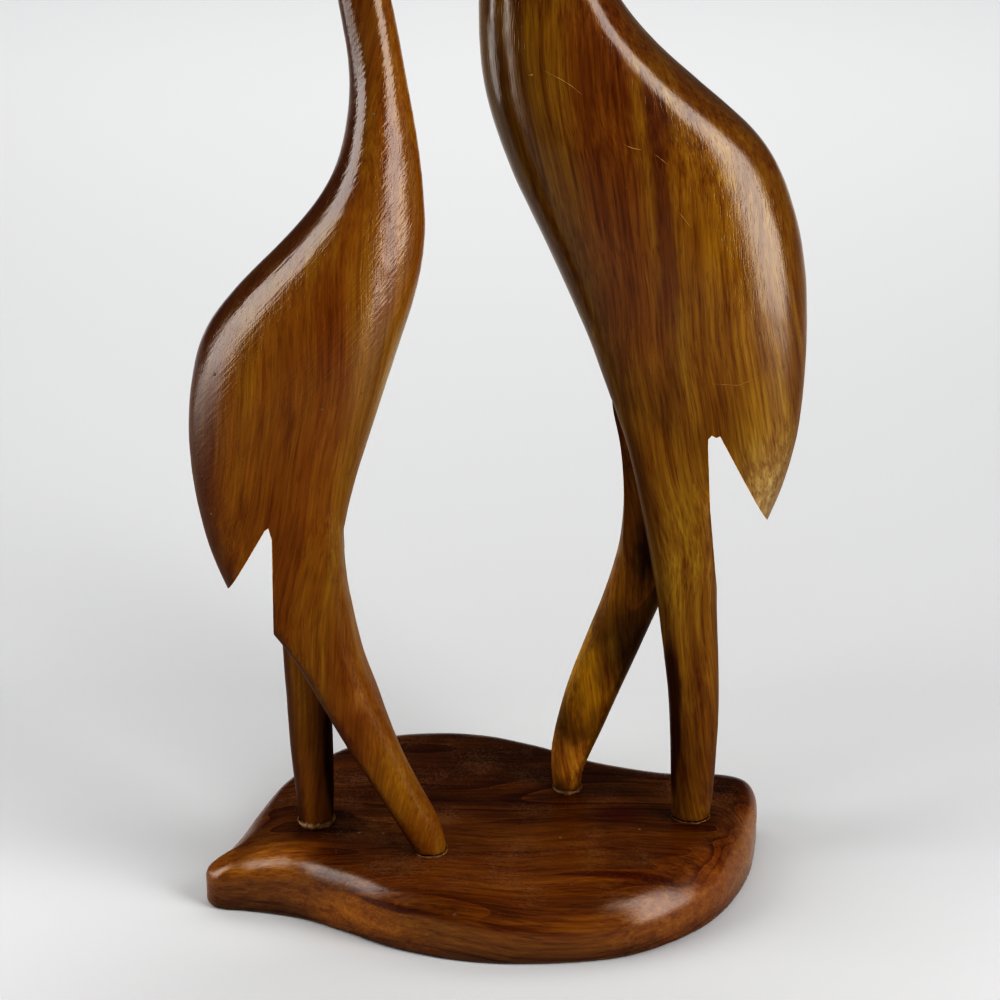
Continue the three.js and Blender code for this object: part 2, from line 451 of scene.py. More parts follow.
def cut(thing: Thing, outline: Sequence[Point], low: float, high: float, finish: bpy.types.Material) -> None:
    """Cuts a straight-sided prism out of an object and leaves its faces in a finish of their own.

    Args:
        thing: the object to cut.
        outline: the prism's outline as x and z.
        low: where the prism starts along Y.
        high: where it ends along Y.
        finish: the material of the cut faces.
    """
    near = [(x, low, z) for x, z in outline]
    far = [(x, high, z) for x, z in outline]
    count = len(outline)
    sides = [(n, (n + 1) % count, (n + 1) % count + count, n + count) for n in range(count)]
    ends = [tuple(range(count))[::-1], tuple(range(count, 2 * count))]
    knife = mesh_object("knife", np.array(near + far), [*sides, *ends])
    if signed_area(outline) > 0:
        knife.data.flip_normals()
    knife.data.materials.append(finish)
    modifier = thing.modifiers.new("cut", "BOOLEAN")
    modifier.operation = "DIFFERENCE"
    modifier.solver = "MANIFOLD"
    modifier.material_mode = "TRANSFER"
    modifier.object = knife
    applied(thing)
    remove(knife)


def signed_area(outline: Sequence[Point]) -> float:
    """The area inside an outline, above zero if it runs anticlockwise."""
    pairs = zip(outline, [*outline[1:], outline[0]])
    return sum(a[0] * b[1] - b[0] * a[1] for a, b in pairs) / 2


def mark_arrises(mesh: bpy.types.Mesh) -> None:
    """Marks the corners of the outer faces that touch a sharp edge, where a pale painted highlight goes.

    Args:
        mesh: the mesh to mark, whose first material is that of its outer faces.
    """
    sharp = np.zeros(len(mesh.edges), dtype=bool)
    if "sharp_edge" in mesh.attributes:
        sharp = values_of(mesh.attributes["sharp_edge"].data, "value", kind=bool)
    on_edge = np.zeros(len(mesh.vertices), dtype=bool)
    on_edge[values_of(mesh.edges, "vertices", 2, np.int64)[sharp].ravel()] = True
    corners = values_of(mesh.loops, "vertex_index", kind=np.int64)
    finishes = values_of(mesh.polygons, "material_index", kind=np.int64)
    sizes = values_of(mesh.polygons, "loop_total", kind=np.int64)
    outer = np.repeat(finishes == 0, sizes)
    arris_highlight = (on_edge[corners] & outer).astype(np.float32)
    mesh.attributes.new(ARRIS, "FLOAT", "CORNER").data.foreach_set("value", arris_highlight)


@dataclass(frozen=True)
class Streak:
    """A band of other colour that follows the grain, as x at heights z, from the top down.

    Its sides waver, and it fades out over a short run of heights at its top and its foot.
    """

    path: tuple[Point, ...]
    width: float
    left_softness: float
    right_softness: float
    colour: str
    strength: float
    wobble_length: float = 11.0
    wobble_swing: float = 3.0
    full_inset: float = 0.2
    top_fade: Point = (6.0, -8.0)
    foot_fade: Point = (-10.0, 22.0)


@dataclass(frozen=True)
class Patch:
    """An area of other colour with a ragged edge, with its radius along each axis."""

    place: Place
    radius: Place
    colour: str
    strength: float
    softness: float = 0.5
    raggedness: float = 0.5
    frays: float = 3.0


@dataclass(frozen=True)
class Fibres:
    """A layer of figure drawn out along the grain, with its usual width, length and swing."""

    across: float
    length: float
    swing: float = 0.0
    detail: float = 2.0


@dataclass(frozen=True)
class OiledTeak:
    """Teak that was sawn, whittled, sanded across the grain and rubbed with oil.

    The eye gets golden to dark red-brown zones along the grain, fine streaks, open pores as short
    dark dashes, darker end grain, a pale painted highlight along the sharp arrises, painted shade on
    the sides that face left and right, and a satin sheen whose edges break up along the fibres and
    the sanding scratches.

    A turn is the pair of values between which something goes from absent to full, and a share or
    a strength is how much of it then shows.
    """

    name: str
    heart: str
    golden: str
    dark: str
    end_grain: str
    grain: Grain = Grain.UPRIGHT
    lean: float = 0.0
    seed: float = 0.0
    drift_length: float = 70.0
    drift_swing: float = 16.0
    zone: Fibres = Fibres(8.0, 160.0)
    golden_turn: Point = (0.48, 0.66)
    golden_share: float = 0.6
    dark_turn: Point = (0.5, 0.34)
    dark_share: float = 0.6
    fibres: tuple[Fibres, ...] = (
        Fibres(0.45, 22.0, 0.7),
        Fibres(0.9, 28.0, 0.8),
        Fibres(1.6, 55.0, 0.9),
        Fibres(4.6, 110.0, 0.75),
        Fibres(22.0, 30.0, 0.4),
    )
    hue_swing: float = 1.5
    least_tone: float = 0.3
    streaks: tuple[Streak, ...] = ()
    patches: tuple[Patch, ...] = ()
    end_darkness: float = 0.6
    end_turn: Point = (0.3, 0.9)
    # Painted shade on the sides that face left and right: its colour, its share on each side, and the turn of
    # the normal's sideways part over which it comes in.
    painted_shade_colour: str = "#2A0A05"
    left_painted_shade: float = 0.0
    right_painted_shade: float = 0.0
    painted_shade_turn: Point = (0.6, 0.88)
    growth_spacing: float = 0.0
    growth_bend: Fibres = Fibres(18.0, 420.0, 22.0, 1.0)
    late_turn: Point = (0.5, 0.97)
    early_turn: Point = (0.14, 0.0)
    early_share: float = 0.25
    growth_colour: str = "#2A0704"
    growth_strength: float = 0.6
    roughness: float = 0.16
    shine: float = 0.52
    gloss_patch: float = 8.0
    gloss_fibres: Fibres = Fibres(0.7, 12.0)
    gloss_turn: Point = (0.75, 1.25)
    gloss_swing: float = 0.05
    polish_run: Point | None = None
    unpolished_roughness: float = 0.25
    unpolished_shine: float = 0.13
    pore: Fibres = Fibres(0.38, 5.0, detail=0.0)
    pore_turn: Point = (0.6, 0.74)
    open_pore_turn: Point = (0.58, 0.72)
    pore_share: float = 0.3
    pore_colour: str = "#1E0B04"
    raised_fibres: Fibres = Fibres(0.55, 14.0)
    fibre_relief: float = 0.012
    pore_relief: float = 0.012
    sanding_relief: float = 0.02
    sanding: Fibres = Fibres(0.3, 9.0)
    sanding_lean: float = math.radians(38)
    dust: float = 0.0
    dust_grain: float = 0.7
    dust_drift: float = 16.0
    dust_turn: Point = (0.22, 0.46)
    dust_colour: str = "#80634A"
    # A pale painted highlight along the sharp arrises, for the light that a fine chamfer there catches.
    arris_highlight_turn: Point = (0.55, 1.0)
    arris_highlight_colour: str = "#C8A06A"
    arris_highlight_share: float = 0.85

    def material(self) -> bpy.types.Material:
        """Makes the finish.

        Returns:
            The material.
        """
        made, add = start_material(self.name)
        place = add("ShaderNodeTexCoord", give="Object")
        in_mm = add(VECTOR_MATH, {0: place, "Scale": 1 / MM}, operation="SCALE")
        wood = self._along_grain(add, in_mm)
        pores = self._drawn_out(add, wood, self.pore)
        colour = self._zones(add, wood)
        if self.growth_spacing:
            colour = self._growth_lines(add, wood, colour)
        for streak in self.streaks:
            colour = self._streaked(add, in_mm, colour, streak)
        for patch in self.patches:
            colour = self._patched(add, in_mm, colour, patch)
        colour = self._toned(add, wood, colour)
        colour = lay_over(add, colour, self.pore_colour, pores, *self.pore_turn, self.pore_share)
        colour = self._end_grained(add, colour)
        # Painted shade on the sides that face left and right.
        colour = self._painted_side_shade(add, colour)
        rough = self._gloss(add, in_mm, wood)
        shine: Any = self.shine
        if self.polish_run:
            rough, shine = self._dulled(add, in_mm, rough)
        if self.dust:
            colour = self._dusty(add, in_mm, colour)
        # A pale painted highlight along the sharp arrises.
        arris_highlight = add("ShaderNodeAttribute", give="Fac", attribute_name=ARRIS)
        colour = lay_over(add, colour, self.arris_highlight_colour, arris_highlight, *self.arris_highlight_turn, self.arris_highlight_share)
        relief = self._relief(add, in_mm, wood, pores)
        inputs = {"Base Color": colour, "Roughness": rough, "Normal": relief}
        end_material(add, {**inputs, "IOR": OIL_IOR, "Specular IOR Level": shine})
        return made

    def _along_grain(self, add: Adder, in_mm: Socket) -> Socket:
        """Turns and bends the wood's own coordinates, so that the fibres run along Z.

        Args:
            add: what adds a node to the tree.
            in_mm: the place on the piece, in millimetres.

        Returns:
            The wood's own coordinates.
        """
        turn = self.grain.value + self.lean
        turned = add(
            "ShaderNodeMapping",
            {"Vector": in_mm, "Rotation": (0.0, turn, 0.0), "Location": (self.seed, 0.0, 0.0)},
            vector_type="TEXTURE",
        )
        drift = add(
            NOISE,
            {"Vector": turned, "Scale": 1 / self.drift_length, "Detail": 1.0, "Roughness": 0.4},
            "Color",
        )
        middle = (-0.5, -0.5, -0.5)
        centred = add(VECTOR_MATH, {0: drift, 1: middle}, operation="ADD")
        swing = (self.drift_swing, self.drift_swing, 0.0)
        return add(VECTOR_MATH, {0: centred, 1: swing, 2: turned}, operation="MULTIPLY_ADD")

    def _drawn_out(self, add: Adder, wood: Socket, fibres: Fibres) -> Socket:
        """Draws a noise from 0 to 1 out along the grain.

        Args:
            add: what adds a node to the tree.
            wood: the wood's own coordinates.
            fibres: how wide and how long the figure is.

        Returns:
            The noise.
        """
        scale = (1 / fibres.across, 1 / fibres.across, 1 / fibres.length)
        scaled = add(VECTOR_MATH, {0: wood, 1: scale}, operation="MULTIPLY")
        inputs = {"Vector": scaled, "Scale": 1.0, "Detail": fibres.detail, "Roughness": 0.55}
        return add(NOISE, inputs, "Fac")

    def _zones(self, add: Adder, wood: Socket) -> Socket:
        """Lays broad golden and dark zones over the heartwood.

        Args:
            add: what adds a node to the tree.
            wood: the wood's own coordinates.

        Returns:
            The new colour.
        """
        zones = self._drawn_out(add, wood, self.zone)
        colour = lay_over(add, linear(self.heart), self.golden, zones, *self.golden_turn, self.golden_share)
        return lay_over(add, colour, self.dark, zones, *self.dark_turn, self.dark_share)

    def _growth_lines(self, add: Adder, wood: Socket, colour: Socket) -> Socket:
        """Draws the edges of the yearly layers, which lie nearly flat and follow the rounded ends.

        Args:
            add: what adds a node to the tree.
            wood: the wood's own coordinates.
            colour: the colour below.

        Returns:
            The new colour.
        """
        bends = self._drawn_out(add, wood, self.growth_bend)
        across = add(SPLIT, {0: wood}, "X")
        bent = add(MATH, {0: bends, 1: self.growth_bend.swing, 2: across}, operation="MULTIPLY_ADD")
        layers = add(MATH, {0: bent, 1: self.growth_spacing}, operation="DIVIDE")
        share = add(MATH, {0: layers}, operation="FRACT")
        late = lay_over(add, colour, self.growth_colour, share, *self.late_turn, self.growth_strength)
        return lay_over(add, late, self.golden, share, *self.early_turn, self.early_share)

    def _streaked(self, add: Adder, in_mm: Socket, colour: Socket, streak: Streak) -> Socket:
        """Lays a streak along its path, fading out on both sides and at both ends.

        Args:
            add: what adds a node to the tree.
            in_mm: the place on the piece, in millimetres.
            colour: the colour below.
            streak: the streak.

        Returns:
            The new colour.
        """
        height = add(SPLIT, {0: in_mm}, "Z")
        centre: Any = streak.path[0][0]
        for (x_above, z_above), (x_below, z_below) in zip(streak.path, streak.path[1:]):
            run = {"From Min": z_above, "From Max": z_below, "To Min": 0.0, "To Max": x_below - x_above}
            step = add(MAP_RANGE, {"Value": height, **run})
            centre = add(MATH, {0: centre, 1: step}, operation="ADD")
        offset = add(MATH, {0: height.node.outputs["X"], 1: centre}, operation="SUBTRACT")
        wobble = add(NOISE, {"Vector": in_mm, "Scale": 1 / streak.wobble_length, "Detail": 2.0}, "Fac")
        inputs = {0: wobble, 1: streak.wobble_swing, 2: offset}
        shaken = add(MATH, inputs, operation="MULTIPLY_ADD")
        top, foot = streak.path[0][1], streak.path[-1][1]
        left = streak.wobble_swing / 2 - streak.width / 2
        right = streak.wobble_swing / 2 + streak.width / 2
        edges = (
            (shaken, left - streak.left_softness, left + streak.full_inset),
            (shaken, right + streak.right_softness, right - streak.full_inset),
            (height, *(top + reach for reach in streak.top_fade)),
            (height, *(foot + reach for reach in streak.foot_fade)),
        )
        mask: Any = streak.strength
        for value, none, full in edges:
            edge = add(
                MAP_RANGE,
                {"Value": value, "From Min": none, "From Max": full},
                interpolation_type="SMOOTHSTEP",
            )
            mask = add(MATH, {0: mask, 1: edge}, operation="MULTIPLY")
        return lay_over(add, colour, streak.colour, mask, 0.0, 1.0)

    def _patched(self, add: Adder, in_mm: Socket, colour: Socket, patch: Patch) -> Socket:
        """Lays a patch round its place, with a ragged edge.

        Args:
            add: what adds a node to the tree.
            in_mm: the place on the piece, in millimetres.
            colour: the colour below.
            patch: the patch.

        Returns:
            The new colour.
        """
        local = add(
            "ShaderNodeMapping",
            {"Vector": in_mm, "Location": patch.place, "Scale": patch.radius},
            vector_type="TEXTURE",
        )
        away = add(VECTOR_MATH, {0: local}, "Value", operation="LENGTH")
        rough = add(NOISE, {"Vector": local, "Scale": patch.frays, "Detail": 3.0}, "Fac")
        ragged = add(MATH, {0: rough, 1: patch.raggedness, 2: away}, operation="MULTIPLY_ADD")
        edge = 1.0 + patch.raggedness / 2
        return lay_over(add, colour, patch.colour, ragged, edge, edge - patch.softness, patch.strength)

    def _toned(self, add: Adder, wood: Socket, colour: Socket) -> Socket:
        """Lightens the colour towards gold and darkens it towards red along the fibres.

        Args:
            add: what adds a node to the tree.
            wood: the wood's own coordinates.
            colour: the colour below.

        Returns:
            The new colour.
        """
        tone: Any = 1.0 - sum(layer.swing for layer in self.fibres) / 2
        for layer in self.fibres:
            figure = self._drawn_out(add, wood, layer)
            inputs = {0: figure, 1: layer.swing, 2: tone}
            tone = add(MATH, inputs, operation="MULTIPLY_ADD")
        red = add(MATH, {0: tone, 1: self.least_tone}, operation="MAXIMUM")
        green = add(MATH, {0: red, 1: self.hue_swing}, operation="POWER")
        tint = add("ShaderNodeCombineXYZ", {"X": red, "Y": green, "Z": green})
        return add(VECTOR_MATH, {0: colour, 1: tint}, operation="MULTIPLY")

    def _end_grained(self, add: Adder, colour: Socket) -> Socket:
        """Darkens the faces that cross the fibres, where the oil soaks in.

        Args:
            add: what adds a node to the tree.
            colour: the colour below.

        Returns:
            The new colour.
        """
        turn = self.grain.value + self.lean
        axis = (math.sin(turn), 0.0, math.cos(turn))
        normal = add("ShaderNodeNewGeometry", give="Normal")
        both = {0: normal, 1: axis}
        facing = add(VECTOR_MATH, both, "Value", operation="DOT_PRODUCT")
        across = add(MATH, {0: facing}, operation="ABSOLUTE")
        return lay_over(add, colour, self.end_grain, across, *self.end_turn, self.end_darkness)

    def _painted_side_shade(self, add: Adder, colour: Socket) -> Socket:
        """Darkens the board's left and right sides as painted shade, by how far they face left or right.

        Args:
            add: what adds a node to the tree.
            colour: the colour below.

        Returns:
            The new colour.
        """
        normal = add("ShaderNodeNewGeometry", give="Normal")
        sideways = add(SPLIT, {0: normal}, "X")
        low, high = self.painted_shade_turn
        left = lay_over(add, colour, self.painted_shade_colour, sideways, -low, -high, self.left_painted_shade)
        return lay_over(add, left, self.painted_shade_colour, sideways, low, high, self.right_painted_shade)

    def _dusty(self, add: Adder, in_mm: Socket, colour: Socket) -> Socket:
        """Lays fine dust on the faces that look up.

        Args:
            add: what adds a node to the tree.
            in_mm: the place on the piece, in millimetres.
            colour: the colour below.

        Returns:
            The new colour.
        """
        normal = add("ShaderNodeNewGeometry", give="Normal")
        up = add(SPLIT, {0: normal}, "Z")
        grains = {"Vector": in_mm, "Scale": 1 / self.dust_grain, "Detail": 3.0, "Roughness": 0.7}
        specks = add(NOISE, grains, "Fac")
        wide = {"Vector": in_mm, "Scale": 1 / self.dust_drift, "Detail": 2.0}
        drifts = add(NOISE, wide, "Fac")
        mask: Any = up
        for value in (specks, drifts):
            mask = add(MATH, {0: mask, 1: value}, operation="MULTIPLY")
        return lay_over(add, colour, self.dust_colour, mask, *self.dust_turn, self.dust)

    def _gloss(self, add: Adder, in_mm: Socket, wood: Socket) -> Socket:
        """Varies the sheen where the oil took unevenly.

        Args:
            add: what adds a node to the tree.
            in_mm: the place on the piece, in millimetres.
            wood: the wood's own coordinates.

        Returns:
            The roughness.
        """
        patches = add(NOISE, {"Vector": in_mm, "Scale": 1 / self.gloss_patch, "Detail": 3.0}, "Fac")
        fine = self._drawn_out(add, wood, self.gloss_fibres)
        both = add(MATH, {0: patches, 1: fine}, operation="ADD")
        inputs = {"To Min": self.roughness - self.gloss_swing, "To Max": self.roughness + self.gloss_swing}
        inputs["From Min"], inputs["From Max"] = self.gloss_turn
        return add(MAP_RANGE, {"Value": both, **inputs})

    def _dulled(self, add: Adder, in_mm: Socket, rough: Socket) -> tuple[Socket, Socket]:
        """Dulls the lower parts, which the polishing cloth hardly reached.

        Args:
            add: what adds a node to the tree.
            in_mm: the place on the piece, in millimetres.
            rough: the roughness of the polished wood.

        Returns:
            The roughness and the shine.
        """
        height = add(SPLIT, {0: in_mm}, "Z")
        changes = []
        for low, high in ((self.unpolished_roughness, 0.0), (self.unpolished_shine, self.shine)):
            inputs = {"Value": height, "To Min": low, "To Max": high}
            inputs["From Min"], inputs["From Max"] = self.polish_run
            changes.append(add(MAP_RANGE, inputs, interpolation_type="SMOOTHSTEP"))
        extra, shine = changes
        return add(MATH, {0: rough, 1: extra}, operation="ADD"), shine

    def _relief(self, add: Adder, in_mm: Socket, wood: Socket, pores: Socket) -> Socket:
        """Adds the raised fibres, the slanting sanding scratches and the open pores as bump.

        Args:
            add: what adds a node to the tree.
            in_mm: the place on the piece, in millimetres.
            wood: the wood's own coordinates.
            pores: the noise that the pores come from.

        Returns:
            The surface's uneven normal.
        """
        fibres = self._drawn_out(add, wood, self.raised_fibres)
        width, length = self.sanding.across, self.sanding.length
        slanted = add(
            "ShaderNodeMapping",
            {"Vector": in_mm, "Rotation": (0.0, self.sanding_lean, 0.0), "Scale": (width, 2 * width, length)},
            vector_type="TEXTURE",
        )
        scratches = add(NOISE, {"Vector": slanted, "Scale": 1.0, "Detail": 2.0}, "Fac")
        inputs: dict[str, Any] = {"Value": pores, "To Min": 1.0, "To Max": 0.0}
        inputs["From Min"], inputs["From Max"] = self.open_pore_turn
        open_pores = add(MAP_RANGE, inputs)
        layers = (
            (fibres, self.fibre_relief), (scratches, self.sanding_relief), (open_pores, self.pore_relief)
        )
        below: dict[str, Any] = {}
        for source, depth in layers:
            bump = {"Height": source, "Distance": depth * MM, "Strength": 1.0, **below}
            below["Normal"] = add("ShaderNodeBump", bump)
        return below["Normal"]


@dataclass(frozen=True)
class DriedGlue:
    """Wood glue that squeezed out of a joint and set: dull, slightly translucent and lumpy."""

    name: str
    colour: str
    stain: str
    roughness: float = 0.5
    cloud_size: float = 1.6
    stain_turn: Point = (0.42, 0.62)
    stain_share: float = 0.8
    translucency: float = 0.25
    light_depth: float = 0.6

    def material(self) -> bpy.types.Material:
        """Makes the finish.

        Returns:
            The material.
        """
        made, add = start_material(self.name)
        place = add("ShaderNodeTexCoord", give="Object")
        clouds = add(NOISE, {"Vector": place, "Scale": 1 / (self.cloud_size * MM), "Detail": 3.0}, "Fac")
        colour = lay_over(add, linear(self.colour), self.stain, clouds, *self.stain_turn, self.stain_share)
        inputs = {"Base Color": colour, "Roughness": self.roughness}
        depth = self.light_depth * MM
        end_material(add, {**inputs, "Subsurface Weight": self.translucency, "Subsurface Scale": depth})
        return made


@dataclass(frozen=True)
class PaperSweep:
    """Matt pale paper laid flat, which reflects more with distance so that it looks evenly lit."""

    name: str
    near_colour: str
    far_colour: str
    start: float
    end: float
    roughness: float = 0.95

    def material(self) -> bpy.types.Material:
        """Makes the finish.

        Returns:
            The material.
        """
        made, add = start_material(self.name)
        place = add("ShaderNodeTexCoord", give="Object")
        depth = add(SPLIT, {0: place}, "Y")
        low, high = self.start * MM, self.end * MM
        share = add(MAP_RANGE, {"Value": depth, "From Min": low, "From Max": high})
        colours = {MIX_FACTOR: share, MIX_A: linear(self.near_colour), MIX_B: linear(self.far_colour)}
        colour = add("ShaderNodeMix", colours, MIX_RESULT, data_type="RGBA")
        end_material(add, {"Base Color": colour, "Roughness": self.roughness})
        return made


@dataclass(frozen=True)
class PlainFinish:
    """A matt, even finish for what only stands around the object, or for specks too small for a pattern."""

    name: str
    colour: str
    roughness: float = 0.9

    def material(self) -> bpy.types.Material:
        """Makes the finish.

        Returns:
            The material.
        """
        made, add = start_material(self.name)
        end_material(add, {"Base Color": linear(self.colour), "Roughness": self.roughness})
        return made


def surface_of(piece: Thing) -> BVHTree:
    """A search tree of a piece's surface, in metres."""
    return BVHTree.FromObject(piece, bpy.context.evaluated_depsgraph_get())


def seen_on(surface: BVHTree, sight: Sight, across: float, along: float) -> tuple[Vector, Vector] | None:
    """Finds the point of a surface that is met first by a straight line of sight.

    Args:
        surface: the surface's search tree.
        sight: the way the line runs.
        across: the line's x, in millimetres.
        along: its z, or its y where it runs down, in millimetres.

    Returns:
        The point in millimetres and the surface's normal, or None where the line misses.
    """
    ray = Vector(sight.value)
    start = Vector((across, along, 0.0)) if sight is Sight.ABOVE else Vector((across, 0.0, along))
    place, normal, _, _ = surface.ray_cast((start - ray * FAR_OFF) * MM, ray)
    return None if place is None else (place / MM, normal)


def new_tree(name: str, inputs: dict[str, str]) -> tuple[Tree, Adder, Any]:
    """Starts a Geometry Nodes tree with named inputs.

    Args:
        name: the tree's name.
        inputs: the socket type of each input, by the input's name.

    Returns:
        The tree, what adds a node to it, and its input sockets.
    """
    tree = bpy.data.node_groups.new(name, "GeometryNodeTree")
    tree.interface.new_socket("Geometry", in_out="INPUT", socket_type="NodeSocketGeometry")
    for label, kind in inputs.items():
        tree.interface.new_socket(label, in_out="INPUT", socket_type=kind)
    tree.interface.new_socket("Geometry", in_out="OUTPUT", socket_type="NodeSocketGeometry")
    return tree, partial(add_node, tree), tree.nodes.new("NodeGroupInput").outputs


def finish_tree(add: Adder, shape: Socket, finish: Socket) -> None:
    """Ends a tree with smooth shading, real geometry and the finish.

    Args:
        add: what adds a node to the tree.
        shape: the geometry that it made.
        finish: the input that gives its material.
    """
    smooth = add("GeometryNodeSetShadeSmooth", {"Geometry": shape})
    real = add("GeometryNodeRealizeInstances", {"Geometry": smooth})
    finished = add("GeometryNodeSetMaterial", {"Geometry": real, "Material": finish})
    add("NodeGroupOutput", {0: finished})


def grow(host: Thing, tree: Tree, values: dict[str, Any]) -> Thing:
    """Runs a tree on an object and leaves a plain mesh.

    Args:
        host: the object that carries the tree's starting points or lines.
        tree: the tree.
        values: a value for each of the tree's named inputs.

    Returns:
        The same object with its new mesh.
    """
    modifier = host.modifiers.new(tree.name, "NODES")
    modifier.node_group = tree
    for item in tree.interface.items_tree:
        if item.in_out == "INPUT" and item.name in values:
            modifier[item.identifier] = values[item.name]
    return applied(host)


def set_values(mesh: bpy.types.Mesh, name: str, values: Sequence[Any]) -> None:
    """Gives each point of a mesh a number or a vector under a name.

    Args:
        mesh: the mesh.
        name: the attribute's name.
        values: one number, or three, for each point.
    """
    flat = np.array(values, dtype=np.float32)
    kind, key = ("FLOAT_VECTOR", "vector") if flat.ndim == 2 else ("FLOAT", "value")
    mesh.attributes.new(name, kind, "POINT").data.foreach_set(key, flat.ravel())


@dataclass(frozen=True)
class Line:
    """A line on a surface, with the radius of what lies along it at each of its points."""

    points: Sequence[Place]
    radii: Sequence[float]
    closed: bool = False


@dataclass(frozen=True)
class Ridge:
    """A lumpy, half sunk ridge that runs along lines, such as a bead of glue or a raised scratch."""

    name: str
    finish: Any
    lump_length: float
    lumpiness: float
    step: float
    grit: float = 0.2
    seed: float = 3.0
    sides: int = 12
    thinnest: float = 0.03

    def build(self, lines: Sequence[Line]) -> None:
        """Runs the ridge along its lines.

        Args:
            lines: the lines to follow.
        """
        points: list[Place] = []
        radii: list[float] = []
        edges: list[tuple[int, int]] = []
        for line in lines:
            first, count = len(points), len(line.points)
            points.extend(line.points)
            radii.extend(radius * MM for radius in line.radii)
            edges.extend((first + n, first + n + 1) for n in range(count - 1))
            if line.closed:
                edges.append((first + count - 1, first))
        host = mesh_object(self.name, np.array(points), edges=edges)
        set_values(host.data, "radius", radii)
        values = {
            "Lump length": self.lump_length * MM,
            "Lumpiness": self.lumpiness,
            "Step": self.step * MM,
            "Grit": self.grit,
            "Seed": self.seed,
            "Finish": self.finish.material(),
        }
        piece = grow(host, self._tree(), values)
        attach(piece, BODY)
        report(piece)

    def _tree(self) -> Tree:
        """Makes the tree that sweeps a circle of uneven radius along the lines.

        Returns:
            The tree.
        """
        numbers = ("Lump length", "Lumpiness", "Step", "Grit", "Seed")
        inputs = {label: "NodeSocketFloat" for label in numbers}
        tree, add, given = new_tree(self.name, {**inputs, "Finish": "NodeSocketMaterial"})
        curve = add("GeometryNodeMeshToCurve", {"Mesh": given["Geometry"]})
        steps = {"Curve": curve, "Length": given["Step"]}
        even = add("GeometryNodeResampleCurve", steps, mode="LENGTH")
        place = add("GeometryNodeInputPosition")
        often = add(MATH, {0: 1.0, 1: given["Lump length"]}, operation="DIVIDE")
        lumps = {"Vector": place, "W": given["Seed"], "Scale": often, "Detail": 2.0}
        swell = add(NOISE, lumps, "Fac", noise_dimensions="4D")
        centred = add(MATH, {0: swell, 1: 0.5}, operation="SUBTRACT")
        inputs = {0: centred, 1: given["Lumpiness"], 2: 1.0}
        share = add(MATH, inputs, operation="MULTIPLY_ADD")
        kept = add(MATH, {0: share, 1: self.thinnest}, operation="MAXIMUM")
        usual = add("GeometryNodeInputNamedAttribute", {"Name": "radius"}, data_type="FLOAT")
        radius = add(MATH, {0: usual, 1: kept}, operation="MULTIPLY")
        circle = {"Resolution": self.sides, "Radius": 1.0}
        section = add("GeometryNodeCurvePrimitiveCircle", circle)
        inputs = {"Curve": even, "Profile Curve": section, "Scale": radius, "Fill Caps": True}
        tube = add("GeometryNodeCurveToMesh", inputs)
        fine = {"Vector": place, "W": given["Seed"], "Scale": often, "Detail": 4.0}
        bumps = add(NOISE, fine, "Color", noise_dimensions="4D")
        shaken = add(VECTOR_MATH, {0: bumps, 1: (-0.5, -0.5, -0.5)}, operation="ADD")
        inputs = {0: given["Grit"], 1: given["Lump length"]}
        reach = add(MATH, inputs, operation="MULTIPLY")
        offset = add(VECTOR_MATH, {0: shaken, "Scale": reach}, operation="SCALE")
        shape = add("GeometryNodeSetPosition", {"Geometry": tube, "Offset": offset})
        finish_tree(add, shape, given["Finish"])
        return tree


@dataclass(frozen=True)
class GlueBead:
    """The glue that squeezed out round one foot, fullest on one side, by the foot's own half sizes."""

    centre: Point
    half_width: float
    half_depth: float
    thickness: float
    fullest: float
    least: float
    steps: int = 60

    def line(self) -> Line:
        """Follows the foot's outline on the base.

        Returns:
            The closed line, thickest at the bead's full side.
        """
        turns = [2 * math.pi * step / self.steps for step in range(self.steps)]
        points = []
        radii = []
        for turn in turns:
            x = self.centre[0] + self.half_width * math.cos(turn)
            y = self.centre[1] + self.half_depth * math.sin(turn)
            points.append((x, y, BASE_THICKNESS))
            share = (0.5 + 0.5 * math.cos(turn - math.radians(self.fullest))) ** 2
            radii.append(self.thickness * (self.least + (1 - self.least) * share))
        return Line(points, radii, closed=True)


@dataclass(frozen=True)
class Scuff:
    """A light scratch that crosses the near side of a bird, as x and z, with its radius in the middle.

    Its radius follows half a sine wave: taper is the share of the wave where it starts, and the
    share that it then covers.
    """

    path: tuple[Point, ...]
    radius: float
    step: float = 0.6
    taper: Point = (0.08, 0.84)

    def line(self, surface: BVHTree) -> Line:
        """Lays the scratch on a surface.

        Args:
            surface: the surface's search tree.

        Returns:
            The line, thin at both ends.
        """
        knots = np.array(self.path)
        travelled = np.concatenate([[0], np.cumsum(np.linalg.norm(np.diff(knots, axis=0), axis=1))])
        count = max(4, int(travelled[-1] / self.step))
        start, run = self.taper
        points = []
        radii = []
        for share in np.linspace(0, 1, count):
            along = share * travelled[-1]
            across, height = (float(np.interp(along, travelled, knots[:, axis])) for axis in range(2))
            found = seen_on(surface, Sight.NEAR_SIDE, across, height)
            if found:
                points.append(tuple(found[0]))
                radii.append(self.radius * math.sin(math.pi * (start + run * share)))
        return Line(points, radii)


@dataclass(frozen=True)
class Scatter:
    """Specks strewn at random over part of a surface, as seen one way, within a box of x and z or y."""

    sight: Sight
    low: Point
    high: Point
    count: int
    smallest: float
    largest: float
    seed: int

    def places(self, surface: BVHTree) -> list[tuple[Vector, Vector, float]]:
        """Draws the specks' places.

        Args:
            surface: the surface's search tree.

        Returns:
            Each speck's point, the surface's normal there and the speck's radius.
        """
        draw = random.Random(self.seed)
        made = []
        for _ in range(self.count):
            across = draw.uniform(self.low[0], self.high[0])
            along = draw.uniform(self.low[1], self.high[1])
            radius = self.smallest + (self.largest - self.smallest) * draw.random() ** 3
            found = seen_on(surface, self.sight, across, along)
            if found:
                made.append((*found, radius))
        return made


